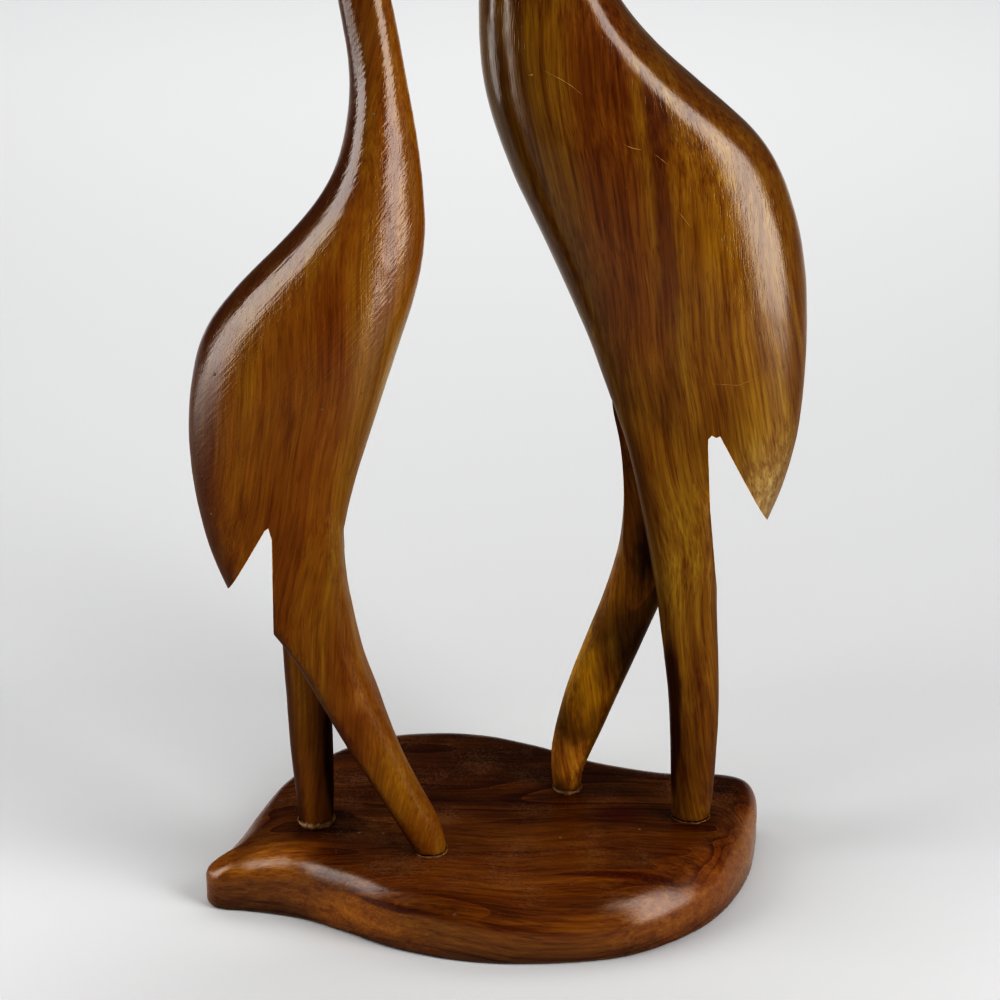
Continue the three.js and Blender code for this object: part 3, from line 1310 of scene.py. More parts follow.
@dataclass(frozen=True)
class Specks:
    """Flattened grains of dust and old polish stuck to a surface."""

    name: str
    finish: PlainFinish
    flatness: float = 0.35
    unevenness: float = 0.45
    seed: int = 5

    def build(self, places: Sequence[tuple[Vector, Vector, float]]) -> None:
        """Sets the grains on their places.

        Args:
            places: each grain's point, the surface's normal there and its radius.
        """
        host = mesh_object(self.name, np.array([place for place, _, _ in places]))
        set_values(host.data, "facing", [tuple(normal) for _, normal, _ in places])
        set_values(host.data, "reach", [radius * MM for _, _, radius in places])
        values = {
            "Flatness": self.flatness,
            "Unevenness": self.unevenness,
            "Seed": self.seed,
            "Finish": self.finish.material(),
        }
        piece = grow(host, self._tree(), values)
        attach(piece, BODY)
        report(piece)

    def _tree(self) -> Tree:
        """Makes the tree that sets a grain on every point, with its flat side to the surface.

        Returns:
            The tree.
        """
        tree, add, given = new_tree(
            self.name,
            {
                "Flatness": "NodeSocketFloat",
                "Unevenness": "NodeSocketFloat",
                "Seed": "NodeSocketInt",
                "Finish": "NodeSocketMaterial",
            },
        )
        grain = add("GeometryNodeMeshIcoSphere", {"Radius": 1.0, "Subdivisions": 2})
        facing = add("GeometryNodeInputNamedAttribute", {"Name": "facing"}, data_type="FLOAT_VECTOR")
        reach = add("GeometryNodeInputNamedAttribute", {"Name": "reach"}, data_type="FLOAT")
        upright = add("FunctionNodeAlignRotationToVector", {"Vector": facing}, axis="Z")
        most = add(MATH, {0: 1.0, 1: given["Unevenness"]}, operation="ADD")
        stretch = add(
            "FunctionNodeRandomValue", {2: 1.0, 3: most, "Seed": given["Seed"]}, 1, data_type="FLOAT"
        )
        long_side = add(MATH, {0: reach, 1: stretch}, operation="MULTIPLY")
        height = add(MATH, {0: reach, 1: given["Flatness"]}, operation="MULTIPLY")
        scale = add("ShaderNodeCombineXYZ", {"X": long_side, "Y": reach, "Z": height})
        grains = add(
            "GeometryNodeInstanceOnPoints",
            {"Points": given["Geometry"], "Instance": grain, "Rotation": upright, "Scale": scale},
        )
        finish_tree(add, grains, given["Finish"])
        return tree


@dataclass(frozen=True)
class Rung:
    """A line across a limb, from its back edge to its front edge, both as x and z.

    Depth is half the wood's thickness, and squareness is the exponent of the rounded section:
    2 is an ellipse, and more is flatter on the sides. The back half can be squarer by what
    sharper_back adds. Ridge is where the thickest line runs, from -1 at the back edge to 1 at
    the front edge.
    """

    back: Point
    front: Point
    depth: float
    squareness: float
    sharper_back: float = 0.0
    ridge: float = 0.0


@dataclass(frozen=True)
class Head:
    """A head in profile, with a long bill that bends downwards.

    The points are shares of the head's height, ahead of and above its centre.
    """

    facing: Facing
    centre: Point
    height: float
    depth: float
    bill_length: float
    bill_drop: float
    bill_turn: float = 1.15
    bill_root: Point = (0.62, -0.12)
    bill_root_half: float = 0.29
    bill_tip_half: float = 0.05
    bill_root_depth: float = 0.55
    bill_tip_depth: float = 0.16
    bill_rungs: int = 4
    bill_squareness: float = 2.1
    skull_squareness: float = 2.2
    crown: Point = (0.1, 0.5)
    chin: Point = (0.18, -0.46)
    back_of_head: Point = (-0.52, 0.42)
    throat: Point = (0.04, -0.52)
    nape: Point = (-0.88, -0.12)
    upper_neck: Point = (-0.04, -0.62)

    def _place(self, ahead: float, up: float) -> Point:
        """Turns a share ahead and a share up into x and z."""
        x = self.centre[0] + self.facing.value * self.height * ahead
        return (x, self.centre[1] + self.height * up)

    def rungs(self) -> list[Rung]:
        """Lays rungs from the tip of the bill back to the nape.

        Returns:
            The rungs.
        """
        step_length = self.bill_length / self.height / self.bill_rungs
        made: list[Rung] = []
        heading = -self.bill_drop
        ahead, up = self.bill_root
        for step in range(self.bill_rungs + 1):
            share = step / self.bill_rungs
            half = self.bill_root_half + share * (self.bill_tip_half - self.bill_root_half)
            thick = self.bill_root_depth + share * (self.bill_tip_depth - self.bill_root_depth)
            over = self._place(ahead - half * math.sin(heading), up + half * math.cos(heading))
            under = self._place(ahead + half * math.sin(heading), up - half * math.cos(heading))
            made.insert(0, Rung(over, under, self.depth * thick, self.bill_squareness))
            ahead += step_length * math.cos(heading)
            up += step_length * math.sin(heading)
            heading -= self.bill_turn / self.bill_rungs
        lines = (
            (self.crown, self.chin, self.skull_squareness),
            (self.back_of_head, self.throat, self.skull_squareness),
            (self.nape, self.upper_neck, self.bill_squareness),
        )
        for above, below, squareness in lines:
            made.append(Rung(self._place(*above), self._place(*below), self.depth, squareness))
        return made


@dataclass(frozen=True)
class Limb:
    """A limb lofted through its rungs, with smooth curves along its back and front edges."""

    rungs: Sequence[Rung]
    fairing: int = 60

    def sections(self) -> Iterator[tuple[np.ndarray, np.ndarray, float]]:
        """Follows the limb from its first rung to its last.

        Yields:
            Each section's points as x and z, how far each is out from the middle as a share of
            the half depth, and the half depth.
        """
        back = smooth_path(np.array([rung.back for rung in self.rungs]), STEPS_PER_RUNG)
        front = smooth_path(np.array([rung.front for rung in self.rungs]), STEPS_PER_RUNG)
        traits = np.array([(r.depth, r.squareness, r.sharper_back, r.ridge) for r in self.rungs])
        at = np.linspace(0, len(self.rungs) - 1, len(back))
        knots = np.arange(len(self.rungs))
        trait_lines = [np.interp(at, knots, column) for column in traits.T]
        lines = [faired(line, self.fairing) for line in (back, front, *trait_lines)]
        turns = np.linspace(0, 2 * math.pi, RING_POINTS, endpoint=False)
        cosine, sine = np.cos(turns), np.sin(turns)
        for back_place, front_place, depth, squareness, sharper_back, ridge in zip(*lines):
            exponent = 2 / np.where(cosine < 0, squareness + sharper_back, squareness)
            across = np.sign(cosine) * np.abs(cosine) ** exponent
            across = ridge + across * (1 - ridge * np.sign(across))
            outwards = np.sign(sine) * np.abs(sine) ** exponent
            middle, reach = (back_place + front_place) / 2, (front_place - back_place) / 2
            yield middle + across[:, None] * reach, outwards, depth

    def skin(self, plane: float) -> Mesh:
        """Lofts the limb with its middle in its board's plane.

        Args:
            plane: where the board's middle is along Y.

        Returns:
            The points and the faces.
        """
        rings = []
        for flat, outwards, depth in self.sections():
            rings.append(np.column_stack([flat[:, 0], plane + outwards * depth, flat[:, 1]]))
        return skin(np.array(rings))


@dataclass(frozen=True)
class Leg(Limb):
    """A leg beside the saw kerf: flat against the kerf above, and whittled round below."""

    side: Side = Side.NEAR
    flat_above: float = 100.0
    round_below: float = 55.0

    def skin(self, plane: float) -> Mesh:
        """Lofts the leg on its own side of the board's plane.

        Args:
            plane: where the board's middle is along Y.

        Returns:
            The points and the faces.
        """
        rings = []
        for flat, outwards, depth in self.sections():
            height = flat[:, 1].mean()
            flatness = eased((height - self.round_below) / (self.flat_above - self.round_below))
            centre = LEG_OFFSET + flatness * (KERF / 2 - LEG_OFFSET)
            reach_out = LEG_OFFSET + depth - centre
            offset = np.maximum(centre + outwards * reach_out, 0.0)
            rings.append(np.column_stack([flat[:, 0], plane + self.side.value * offset, flat[:, 1]]))
        return skin(np.array(rings))


@dataclass(frozen=True)
class CarvedIbis:
    """One bird: bill, head, neck, body, tail and two striding legs, all of one piece of wood."""

    name: str
    node: str
    slot: str
    plane: float
    head: Head
    body: Sequence[Rung]
    near_leg: Leg
    far_leg: Leg
    notch: Sequence[Point]
    kerf: Sequence[Point]
    finish: OiledTeak
    sawn_finish: OiledTeak
    smoothing: int = 24
    hand_marks: tuple[tuple[float, float], ...] = ((0.16, 17.0), (0.06, 6.0))

    def build(self) -> Thing:
        """Carves the bird.

        Returns:
            The finished piece, riding on the object's body.
        """
        whole = Limb([*self.head.rungs(), *self.body])
        parts = [whole.skin(self.plane), self.near_leg.skin(self.plane), self.far_leg.skin(self.plane)]
        bird = mesh_object(self.name, *joined(parts))
        bird.data.materials.append(self.finish.material())
        make_one_surface(bird, self.smoothing)
        for height, length in self.hand_marks:
            ripple(bird.data, height, length)
        sawn = self.sawn_finish.material()
        cut(bird, self.kerf, self.plane - KERF / 2, self.plane + KERF / 2, sawn)
        cut(bird, self.notch, self.plane - CUT_REACH, self.plane + CUT_REACH, sawn)
        return placed(bird, self.node, self.slot)


@dataclass(frozen=True)
class Dent:
    """A shallow knock in a surface, as its middle, radius and depth."""

    place: Place
    radius: float
    depth: float


@dataclass(frozen=True)
class PlankBase:
    """The freeform plank, flat above and below, with a generously rounded upper edge.

    The rounding is given by how far it reaches in at the left, the right and the back, each as a
    pair of width and depth. Forward mix says how fast it changes from the back's to the front's
    with the way the edge faces. The left tip is carved thinner, down to the tip share.
    """

    name: str
    node: str
    slot: str
    outline: Sequence[Point]
    finish: OiledTeak
    thickness: float = BASE_THICKNESS
    left_rounding: Point = (8.5, 7.5)
    right_rounding: Point = (16.0, 13.0)
    back_rounding: Point = (11.0, 10.0)
    rounding_run: Point = (-35.0, 20.0)
    tip_run: Point = (-58.0, -84.0)
    tip_share: float = 0.72
    underside_rounding: float = 1.0
    underside_inset: float = 4.0
    forward_mix: Place = (0.35, 0.9, 0.5)
    spine_share: float = 0.97
    spine: tuple[Point, Point] = ((-62.0, -10.0), (62.0, 6.0))
    outline_points: int = 520
    rounding_steps: int = 22
    underside_steps: int = 5
    wall_steps: int = 8
    top_steps: int = 40
    smoothing: int = 12
    hand_marks: tuple[tuple[float, float], ...] = ((0.22, 26.0), (0.08, 8.0))
    dents: Sequence[Dent] = ()

    def build(self) -> Thing:
        """Shapes the plank.

        Returns:
            The finished piece, riding on the object's body.
        """
        plank = mesh_object(self.name, *skin(np.array(self._rings())))
        plank.data.materials.append(self.finish.material())
        make_one_surface(plank, self.smoothing)
        for height, length in self.hand_marks:
            ripple(plank.data, height, length)
        self._knock(plank.data)
        return placed(plank, self.node, self.slot)

    def _knock(self, mesh: bpy.types.Mesh) -> None:
        """Presses the dents into the plank and keeps its underside flat.

        Args:
            mesh: the plank's mesh.
        """
        points, normals = points_of(mesh), normals_of(mesh)
        for dent in self.dents:
            away = np.linalg.norm(points - np.array(dent.place), axis=1) / dent.radius
            points -= (dent.depth * eased(1 - away))[:, None] * normals
        points[:, 2] = np.maximum(points[:, 2], 0.0)
        move_points(mesh, points)

    def _edge(self) -> np.ndarray:
        """Follows the plank's edge as seen from above.

        Returns:
            Evenly spaced points, one a row.
        """
        corners = np.array(self.outline)
        chain = np.vstack([corners[-2:], corners, corners[:3]])
        steps = 40
        path = smooth_path(chain, steps)[2 * steps : (2 + len(corners)) * steps + 1]
        travelled = np.concatenate([[0], np.cumsum(np.linalg.norm(np.diff(path, axis=0), axis=1))])
        marks = np.linspace(0, travelled[-1], self.outline_points, endpoint=False)
        return np.column_stack([np.interp(marks, travelled, path[:, axis]) for axis in range(2)])

    def _rings(self) -> list[np.ndarray]:
        """Draws the plank as rings.

        Returns:
            The rings, from the underside up the edge and in over the top.
        """
        edge = self._edge()
        start, end = (np.array(point) for point in self.spine)
        run = end - start
        share = np.clip((edge - start) @ run / (run @ run), 0, 1)
        inwards = start + share[:, None] * run - edge
        reach = np.linalg.norm(inwards, axis=1)[:, None]
        inwards = inwards / reach

        def ring(inset: np.ndarray | float, height: np.ndarray | float) -> np.ndarray:
            """The edge drawn in by an inset, at a height."""
            points = edge + inwards * inset
            return np.column_stack([points, np.broadcast_to(height, (len(points), 1))])

        level, ahead, aside = self.forward_mix
        forward = eased(level + ahead * inwards[:, 1:] + aside * np.abs(inwards[:, :1]))
        start_x, end_x = self.rounding_run
        rightward = eased((edge[:, :1] - start_x) / (end_x - start_x))
        roundings = zip(self.left_rounding, self.right_rounding, self.back_rounding)
        wide, deep = (
            back + forward * (left + rightward * (right - left) - back) for left, right, back in roundings
        )
        quarter = math.pi / 2
        rings = [ring(self.underside_inset, 0.0)]
        for step in range(self.underside_steps + 1):
            turn = quarter * step / self.underside_steps
            inset = self.underside_rounding * (1 - math.sin(turn))
            rings.append(ring(inset, self.underside_rounding * (1 - math.cos(turn))))
        wall = self.thickness - deep - self.underside_rounding
        for step in range(1, self.wall_steps):
            rings.append(ring(0.0, self.underside_rounding + wall * step / self.wall_steps))
        for step in range(self.rounding_steps + 1):
            turn = quarter * step / self.rounding_steps
            rings.append(ring(wide * (1 - math.cos(turn)), self.thickness - deep * (1 - math.sin(turn))))
        for step in range(1, self.top_steps + 1):
            share_in = self.spine_share * step / self.top_steps
            rings.append(ring(wide + (reach - wide) * share_in, self.thickness))
        start_x, end_x = self.tip_run
        for points in rings:
            lowered = eased((points[:, 0] - start_x) / (end_x - start_x))
            points[:, 2] *= 1 - (1 - self.tip_share) * lowered
        return rings


@dataclass(frozen=True)
class SmallMarks:
    """What sits on the wood: glue at the feet, light scuffs and stuck specks."""

    glue: Ridge
    beads: Sequence[GlueBead]
    scuff_ridge: Ridge
    tall_scuffs: Sequence[Scuff]
    specks: Specks
    strewn: Sequence[tuple[str, Scatter]]
    named: Sequence[tuple[str, Sight, Sequence[Place]]]

    def build(self, pieces: dict[str, Thing]) -> None:
        """Adds the marks to the finished pieces.

        Args:
            pieces: the finished pieces by the node each stands for.
        """
        surfaces = {node: surface_of(piece) for node, piece in pieces.items()}
        self.glue.build([bead.line() for bead in self.beads])
        self.scuff_ridge.build([scuff.line(surfaces["taller_ibis"]) for scuff in self.tall_scuffs])
        places = []
        for node, scatter in self.strewn:
            places.extend(scatter.places(surfaces[node]))
        for node, sight, grains in self.named:
            for across, along, radius in grains:
                found = seen_on(surfaces[node], sight, across, along)
                if found:
                    places.append((*found, radius))
        self.specks.build(places)


def placed(piece: Thing, node: str, slot: str) -> Thing:
    """Shades a finished piece, marks its arrises and puts it in its node's place.

    Args:
        piece: the piece.
        node: the CAD node that it stands for.
        slot: the record's material slot; not used.

    Returns:
        The same piece, riding on the object's body.
    """
    piece.data.shade_smooth()
    piece.data.set_sharp_from_angle(angle=SHARP_ANGLE)
    mark_arrises(piece.data)
    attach(piece, BODY)
    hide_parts(node)
    report(piece)
    return piece


@dataclass(frozen=True)
class SoftLight:
    """A large soft light placed by angles round a point above the middle of the base.

    It looks at that point, or straight down.
    """

    name: str
    azimuth: float
    distance: float
    width: float
    height: float
    power: float
    aim_height: float = 0.0
    elevation: float = 0.0
    down: bool = False
    mirrored: bool = True

    def build(self) -> None:
        """Hangs the light. Azimuth 0 is at the camera's side, and 90 is to the right."""
        lamp = bpy.data.lights.new(self.name, "AREA")
        lamp.shape = "RECTANGLE"
        lamp.size = self.width * MM
        lamp.size_y = self.height * MM
        lamp.energy = self.power
        around, up = math.radians(self.azimuth), math.radians(self.elevation)
        back = Vector((math.sin(around) * math.cos(up), -math.cos(around) * math.cos(up), math.sin(up)))
        thing = bpy.data.objects.new(self.name, lamp)
        aim = Vector((0.0, 0.0, self.aim_height))
        thing.location = (aim + back * self.distance) * MM
        if not self.down:
            thing.rotation_euler = (-back).to_track_quat("-Z", "Y").to_euler()
        thing.visible_glossy = self.mirrored
        bpy.context.scene.collection.objects.link(thing)


@dataclass(frozen=True)
class Studio:
    """A plain pale floor, soft light and the camera at the photograph's angle."""

    lights: Sequence[SoftLight]
    floor_finish: PaperSweep = PaperSweep("pale_floor", "#B0B0B0", "#FCFCFC", 110.0, 1120.0)
    floor_half: float = 9000.0
    sky_colour: str = "#E8EAEE"
    sky_strength: float = 0.1
    look: str = "Very High Contrast"
    camera_place: Place = (1.2, -650.9, 414.4)
    camera_pitch: float = 24.244
    focal_pixels: float = 2533.0
    picture_pixels: float = 1000.0
    sensor: float = 36.0
    nearest: float = 10.0
    farthest: float = 30000.0

    def build(self) -> None:
        """Sets up the floor, the lights, the surroundings and the camera."""
        half = self.floor_half
        corners = np.array([(-half, -half, 0), (half, -half, 0), (half, half, 0), (-half, half, 0)])
        floor = mesh_object("floor", corners, [(0, 1, 2, 3)])
        floor.data.materials.append(self.floor_finish.material())
        for light in self.lights:
            light.build()
        self._surroundings()
        self._camera()
        view = bpy.context.scene.view_settings
        view.view_transform = "Standard"
        view.look = self.look

    def _surroundings(self) -> None:
        """Fills the room with an even pale light."""
        world = bpy.data.worlds.new("pale room")
        world.use_nodes = True
        backdrop = world.node_tree.nodes["Background"]
        backdrop.inputs["Color"].default_value = linear(self.sky_colour)
        backdrop.inputs["Strength"].default_value = self.sky_strength
        bpy.context.scene.world = world

    def _camera(self) -> None:
        """Places the camera."""
        lens = bpy.data.cameras.new("camera")
        lens.sensor_width = self.sensor
        lens.lens = self.focal_pixels / self.picture_pixels * self.sensor
        lens.clip_start = self.nearest * MM
        lens.clip_end = self.farthest * MM
        camera = bpy.data.objects.new("camera", lens)
        camera.location = Vector(self.camera_place) * MM
        camera.rotation_euler = (math.radians(90 - self.camera_pitch), 0.0, 0.0)
        bpy.context.scene.collection.objects.link(camera)
        bpy.context.scene.camera = camera


def report(piece: Thing) -> None:
    """Logs a finished piece and its size.

    Args:
        piece: the piece.
    """
    triangles = sum(len(face.vertices) - 2 for face in piece.data.polygons)
    sides = [round(side / MM, 1) for side in piece.dimensions]
    log.info("%s: %d triangles, %s mm", piece.name, triangles, sides)


# Reddish teak, oiled and polished above, duller below. The eye gets a warm brown with a few darker
# streaks, painted shade on the sides that face left and right, and a sheen broken by slanting
# scratches. Real sanding scratches are finer than a pixel here, so they are drawn 0.8 mm wide.
RED_TEAK = OiledTeak(
    "oiled_red_teak",
    heart="#714916",
    golden="#775619",
    dark="#613610",
    end_grain="#250909",
    lean=math.radians(8),
    streaks=(
        Streak(
            ((-44.0, 202.1), (-43.3, 182.9), (-42.5, 163.2), (-43.6, 142.9)), 6.0, 5.0, 4.0, "#61350F", 0.4
        ),
        Streak(
            ((-24.9, 185.7), (-30.6, 163.2), (-36.4, 140.0), (-41.0, 116.2), (-43.0, 91.7)),
            6.0,
            5.0,
            3.0,
            "#72541A",
            0.7,
        ),
        Streak(((-61.9, 160.3), (-64.3, 145.9)), 1.2, 1.6, 1.6, "#401B0D", 0.55),
        Streak(((-53.3, 163.2), (-54.8, 151.7), (-56.5, 140.0)), 1.2, 1.6, 1.6, "#401B0D", 0.55),
        Streak(((-67.9, 137.1), (-69.5, 119.2)), 1.3, 1.6, 1.6, "#401B0D", 0.55),
    ),
    patches=(
        Patch((-33.0, -16.0, 264.0), (9.0, 12.0, 44.0), "#533214", 0.7, 0.9, 0.3),
        Patch((-26.0, -22.0, 42.0), (16.0, 14.0, 28.0), "#7D5914", 0.8, 0.9),
        Patch((-50.0, -22.0, 100.0), (18.0, 14.0, 40.0), "#714F16", 0.6, 0.9),
        # A painted shadow, near black, on the far leg's side that faces the taller bird
        Patch((-45.8, -4.6, 50.0), (6.8, 8.0, 38.0), "#0A0201", 0.9, 0.3, 0.3),
        # A faint painted sheen on the near leg's knee
        Patch((-38.5, -26.0, 71.5), (3.0, 6.0, 8.0), "#A47A40", 0.25, 1.0, 0.1),
        Patch((-24.5, -27.0, 236.0), (0.7, 3.0, 1.8), "#1A0803", 0.8),
        Patch((-25.0, -26.0, 229.5), (0.6, 3.0, 2.6), "#1A0803", 0.8),
    ),
    fibres=(
        Fibres(0.45, 22.0, 0.6),
        Fibres(0.9, 28.0, 0.55),
        Fibres(1.6, 55.0, 0.6),
        Fibres(4.6, 110.0, 0.4),
        Fibres(22.0, 30.0, 0.4),
    ),
    end_darkness=0.35,
    left_painted_shade=0.8,
    right_painted_shade=0.25,
    painted_shade_turn=(0.15, 0.8),
    arris_highlight_share=0.5,
    pore_share=0.15,
    polish_run=(132.0, 192.0),
    sanding_relief=0.11,
    sanding=Fibres(0.8, 11.0),
    sanding_lean=math.radians(42),
)

# The taller bird's far leg where the legs cross: golden wood painted paler to lift the shade there, beside a
# painted shadow of the near leg in dark red
INNER_LEG_PAINTED_LIGHT_AND_SHADOW = (
    Patch((36.0, 13.0, 90.0), (13.0, 15.0, 20.0), "#96691E", 0.9, 0.8),
    Patch((43.5, 13.0, 101.0), (7.0, 15.0, 20.0), "#2A0805", 0.92, 0.8),
)

# Golden teak, oiled and polished above, duller below. The eye gets olive gold with brown bands
# along the grain, a pale worn tail tip, painted shade on the sides that face left and right, and a
# smoother sheen than the smaller bird's.
GOLDEN_TEAK = OiledTeak(
    "oiled_golden_teak",
    heart="#684816",
    golden="#6B4C16",
    dark="#563312",
    end_grain="#381A0E",
    lean=math.radians(-8),
    seed=40.0,
    streaks=(
        Streak(
            ((8.8, 265.8), (11.5, 250.2), (12.9, 229.0), (17.0, 212.8), (23.8, 193.4)),
            14.0,
            5.0,
            6.0,
            "#6A4914",
            0.85,
        ),
        Streak(
            ((25.3, 266.0), (26.9, 245.2), (28.5, 226.6), (31.5, 207.6), (34.6, 185.3), (42.0, 156.5)),
            11.0,
            6.0,
            6.0,
            "#5F3912",
            0.85,
        ),
        Streak(
            ((39.5, 246.0), (43.0, 235.5), (45.2, 211.2), (46.8, 185.8), (48.4, 168.1)),
            3.0,
            4.5,
            1.6,
            "#451F12",
            0.65,
        ),
        Streak(
            ((50.5, 232.0), (53.7, 213.1), (57.3, 185.3), (62.1, 162.3), (67.0, 141.7)),
            13.0,
            3.5,
            9.0,
            "#704E13",
            0.65,
        ),
    ),
    patches=(
        Patch((72.0, -8.0, 142.0), (19.0, 20.0, 34.0), "#7A5F1D", 0.65, 1.1, 0.3),
        Patch((80.0, -8.0, 112.0), (24.0, 24.0, 44.0), "#917E5C", 0.85, 1.0, 0.0),
        Patch((52.0, -8.0, 112.0), (14.0, 16.0, 44.0), "#765B1F", 0.6, 0.9, 0.3),
        Patch((47.0, -12.0, 158.0), (6.0, 12.0, 20.0), "#4A2A0E", 0.5, 0.9),
        # Golden wood on the far leg, painted paler still to lift the shade between the legs
        Patch((40.0, 14.0, 132.0), (14.0, 9.0, 26.0), "#C8944A", 0.85),
        Patch((29.5, 14.0, 58.0), (15.0, 9.0, 30.0), "#C3901D", 0.85, 0.8),
        Patch((22.5, 14.0, 31.0), (11.0, 9.0, 13.0), "#AC7B32", 0.85),
        *INNER_LEG_PAINTED_LIGHT_AND_SHADOW,
        Patch((58.0, -6.0, 44.0), (12.0, 12.0, 30.0), "#533209", 0.5, 0.9),
        # A painted shadow on the near leg's side that faces the smaller bird
        Patch((50.0, -8.0, 50.0), (4.2, 9.0, 36.0), "#2E0A08", 0.85, 0.3, 0.3),
    ),
    end_darkness=0.35,
    left_painted_shade=0.12,
    right_painted_shade=0.45,
    painted_shade_turn=(0.2, 0.85),
    pore_share=0.2,
    arris_highlight_share=0.45,
    polish_run=(135.0, 205.0),
    fibre_relief=0.02,
    sanding_relief=0.02,
)

# Dark heartwood sawn flat and oiled thinly. The eye gets red-brown wood with growth lines along
# the plank, maroon areas, a duller sheen than the birds have, and fine dust on top.
BASE_TEAK = OiledTeak(
    "oiled_dark_teak",
    heart="#4C2C0A",
    golden="#714010",
    dark="#321606",
    end_grain="#5A2A0C",
    grain=Grain.LENGTHWISE,
    seed=90.0,
    zone=Fibres(12.0, 130.0),
    golden_share=0.4,
    growth_spacing=2.6,
    arris_highlight_share=0.0,
    end_darkness=0.2,
    dust=0.34,
    growth_strength=0.65,
    roughness=0.25,
    shine=0.43,
    fibres=(Fibres(0.5, 12.0, 0.9), Fibres(1.4, 50.0, 1.0), Fibres(4.6, 110.0, 0.8), Fibres(22.0, 30.0, 0.4)),
    pore_relief=0.008,
    patches=(
        Patch((0.0, -30.0, 9.5), (400.0, 400.0, 8.0), "#704617", 0.75, 0.7, 0.15),
        Patch((6.0, -26.0, 21.0), (70.0, 34.0, 12.0), "#613A10", 0.85, 0.9, 0.6),
        Patch((-64.0, -23.0, 18.0), (24.0, 13.0, 12.0), "#7C5018", 0.8, 0.9),
        Patch((44.0, -16.0, 21.0), (24.0, 12.0, 10.0), "#5E360B", 0.7, 0.9),
        Patch((-84.0, -16.0, 8.0), (15.0, 12.0, 18.0), "#653C12", 0.6, 0.8),
        Patch((30.0, 36.0, 22.0), (70.0, 22.0, 14.0), "#2A0C05", 0.6, 0.8),
        Patch((-30.0, 22.0, 20.0), (52.0, 26.0, 10.0), "#2E1207", 0.7, 0.9),
        Patch((-50.0, -12.0, 20.0), (16.0, 6.0, 6.0), "#220A05", 0.6, 0.8),
        Patch((37.0, -2.0, 20.0), (12.0, 7.0, 6.0), "#3E0C06", 0.6, 0.8),
        Patch((36.0, -35.0, 20.0), (26.0, 2.2, 6.0), "#380C06", 0.75, 0.6),
        Patch((71.0, 10.0, 20.0), (13.0, 19.0, 9.0), "#200E05", 0.6, 0.8),
        Patch((74.0, -8.0, 8.0), (16.0, 32.0, 13.0), "#603F10", 0.6, 0.9),
        Patch((-48.0, -40.0, 8.0), (40.0, 16.0, 9.0), "#955F13", 0.75, 0.9),
        Patch((-31.0, -44.0, 14.2), (19.0, 14.0, 1.6), "#3A0E08", 0.75, 0.6),
        Patch((6.0, -48.0, 12.0), (14.0, 14.0, 1.2), "#3A0E08", 0.4, 0.6),
    ),
)

# The same woods as a saw left them, in the kerfs and notches: rough and hardly shiny. The golden
# one is painted paler, to lift the shade that falls on the far leg's sawn face between the legs.
SAWN_RED_TEAK = replace(RED_TEAK, name="sawn_red_teak", roughness=0.5, shine=0.15, polish_run=None)
SAWN_GOLDEN_TEAK_PAINTED_LIGHTER = replace(
    GOLDEN_TEAK,
    name="sawn_golden_teak_painted_lighter",
    heart="#936524",
    golden="#976A24",
    dark="#77471D",
    streaks=(),
    patches=INNER_LEG_PAINTED_LIGHT_AND_SHADOW,
    roughness=0.5,
    shine=0.15,
    polish_run=None,
)

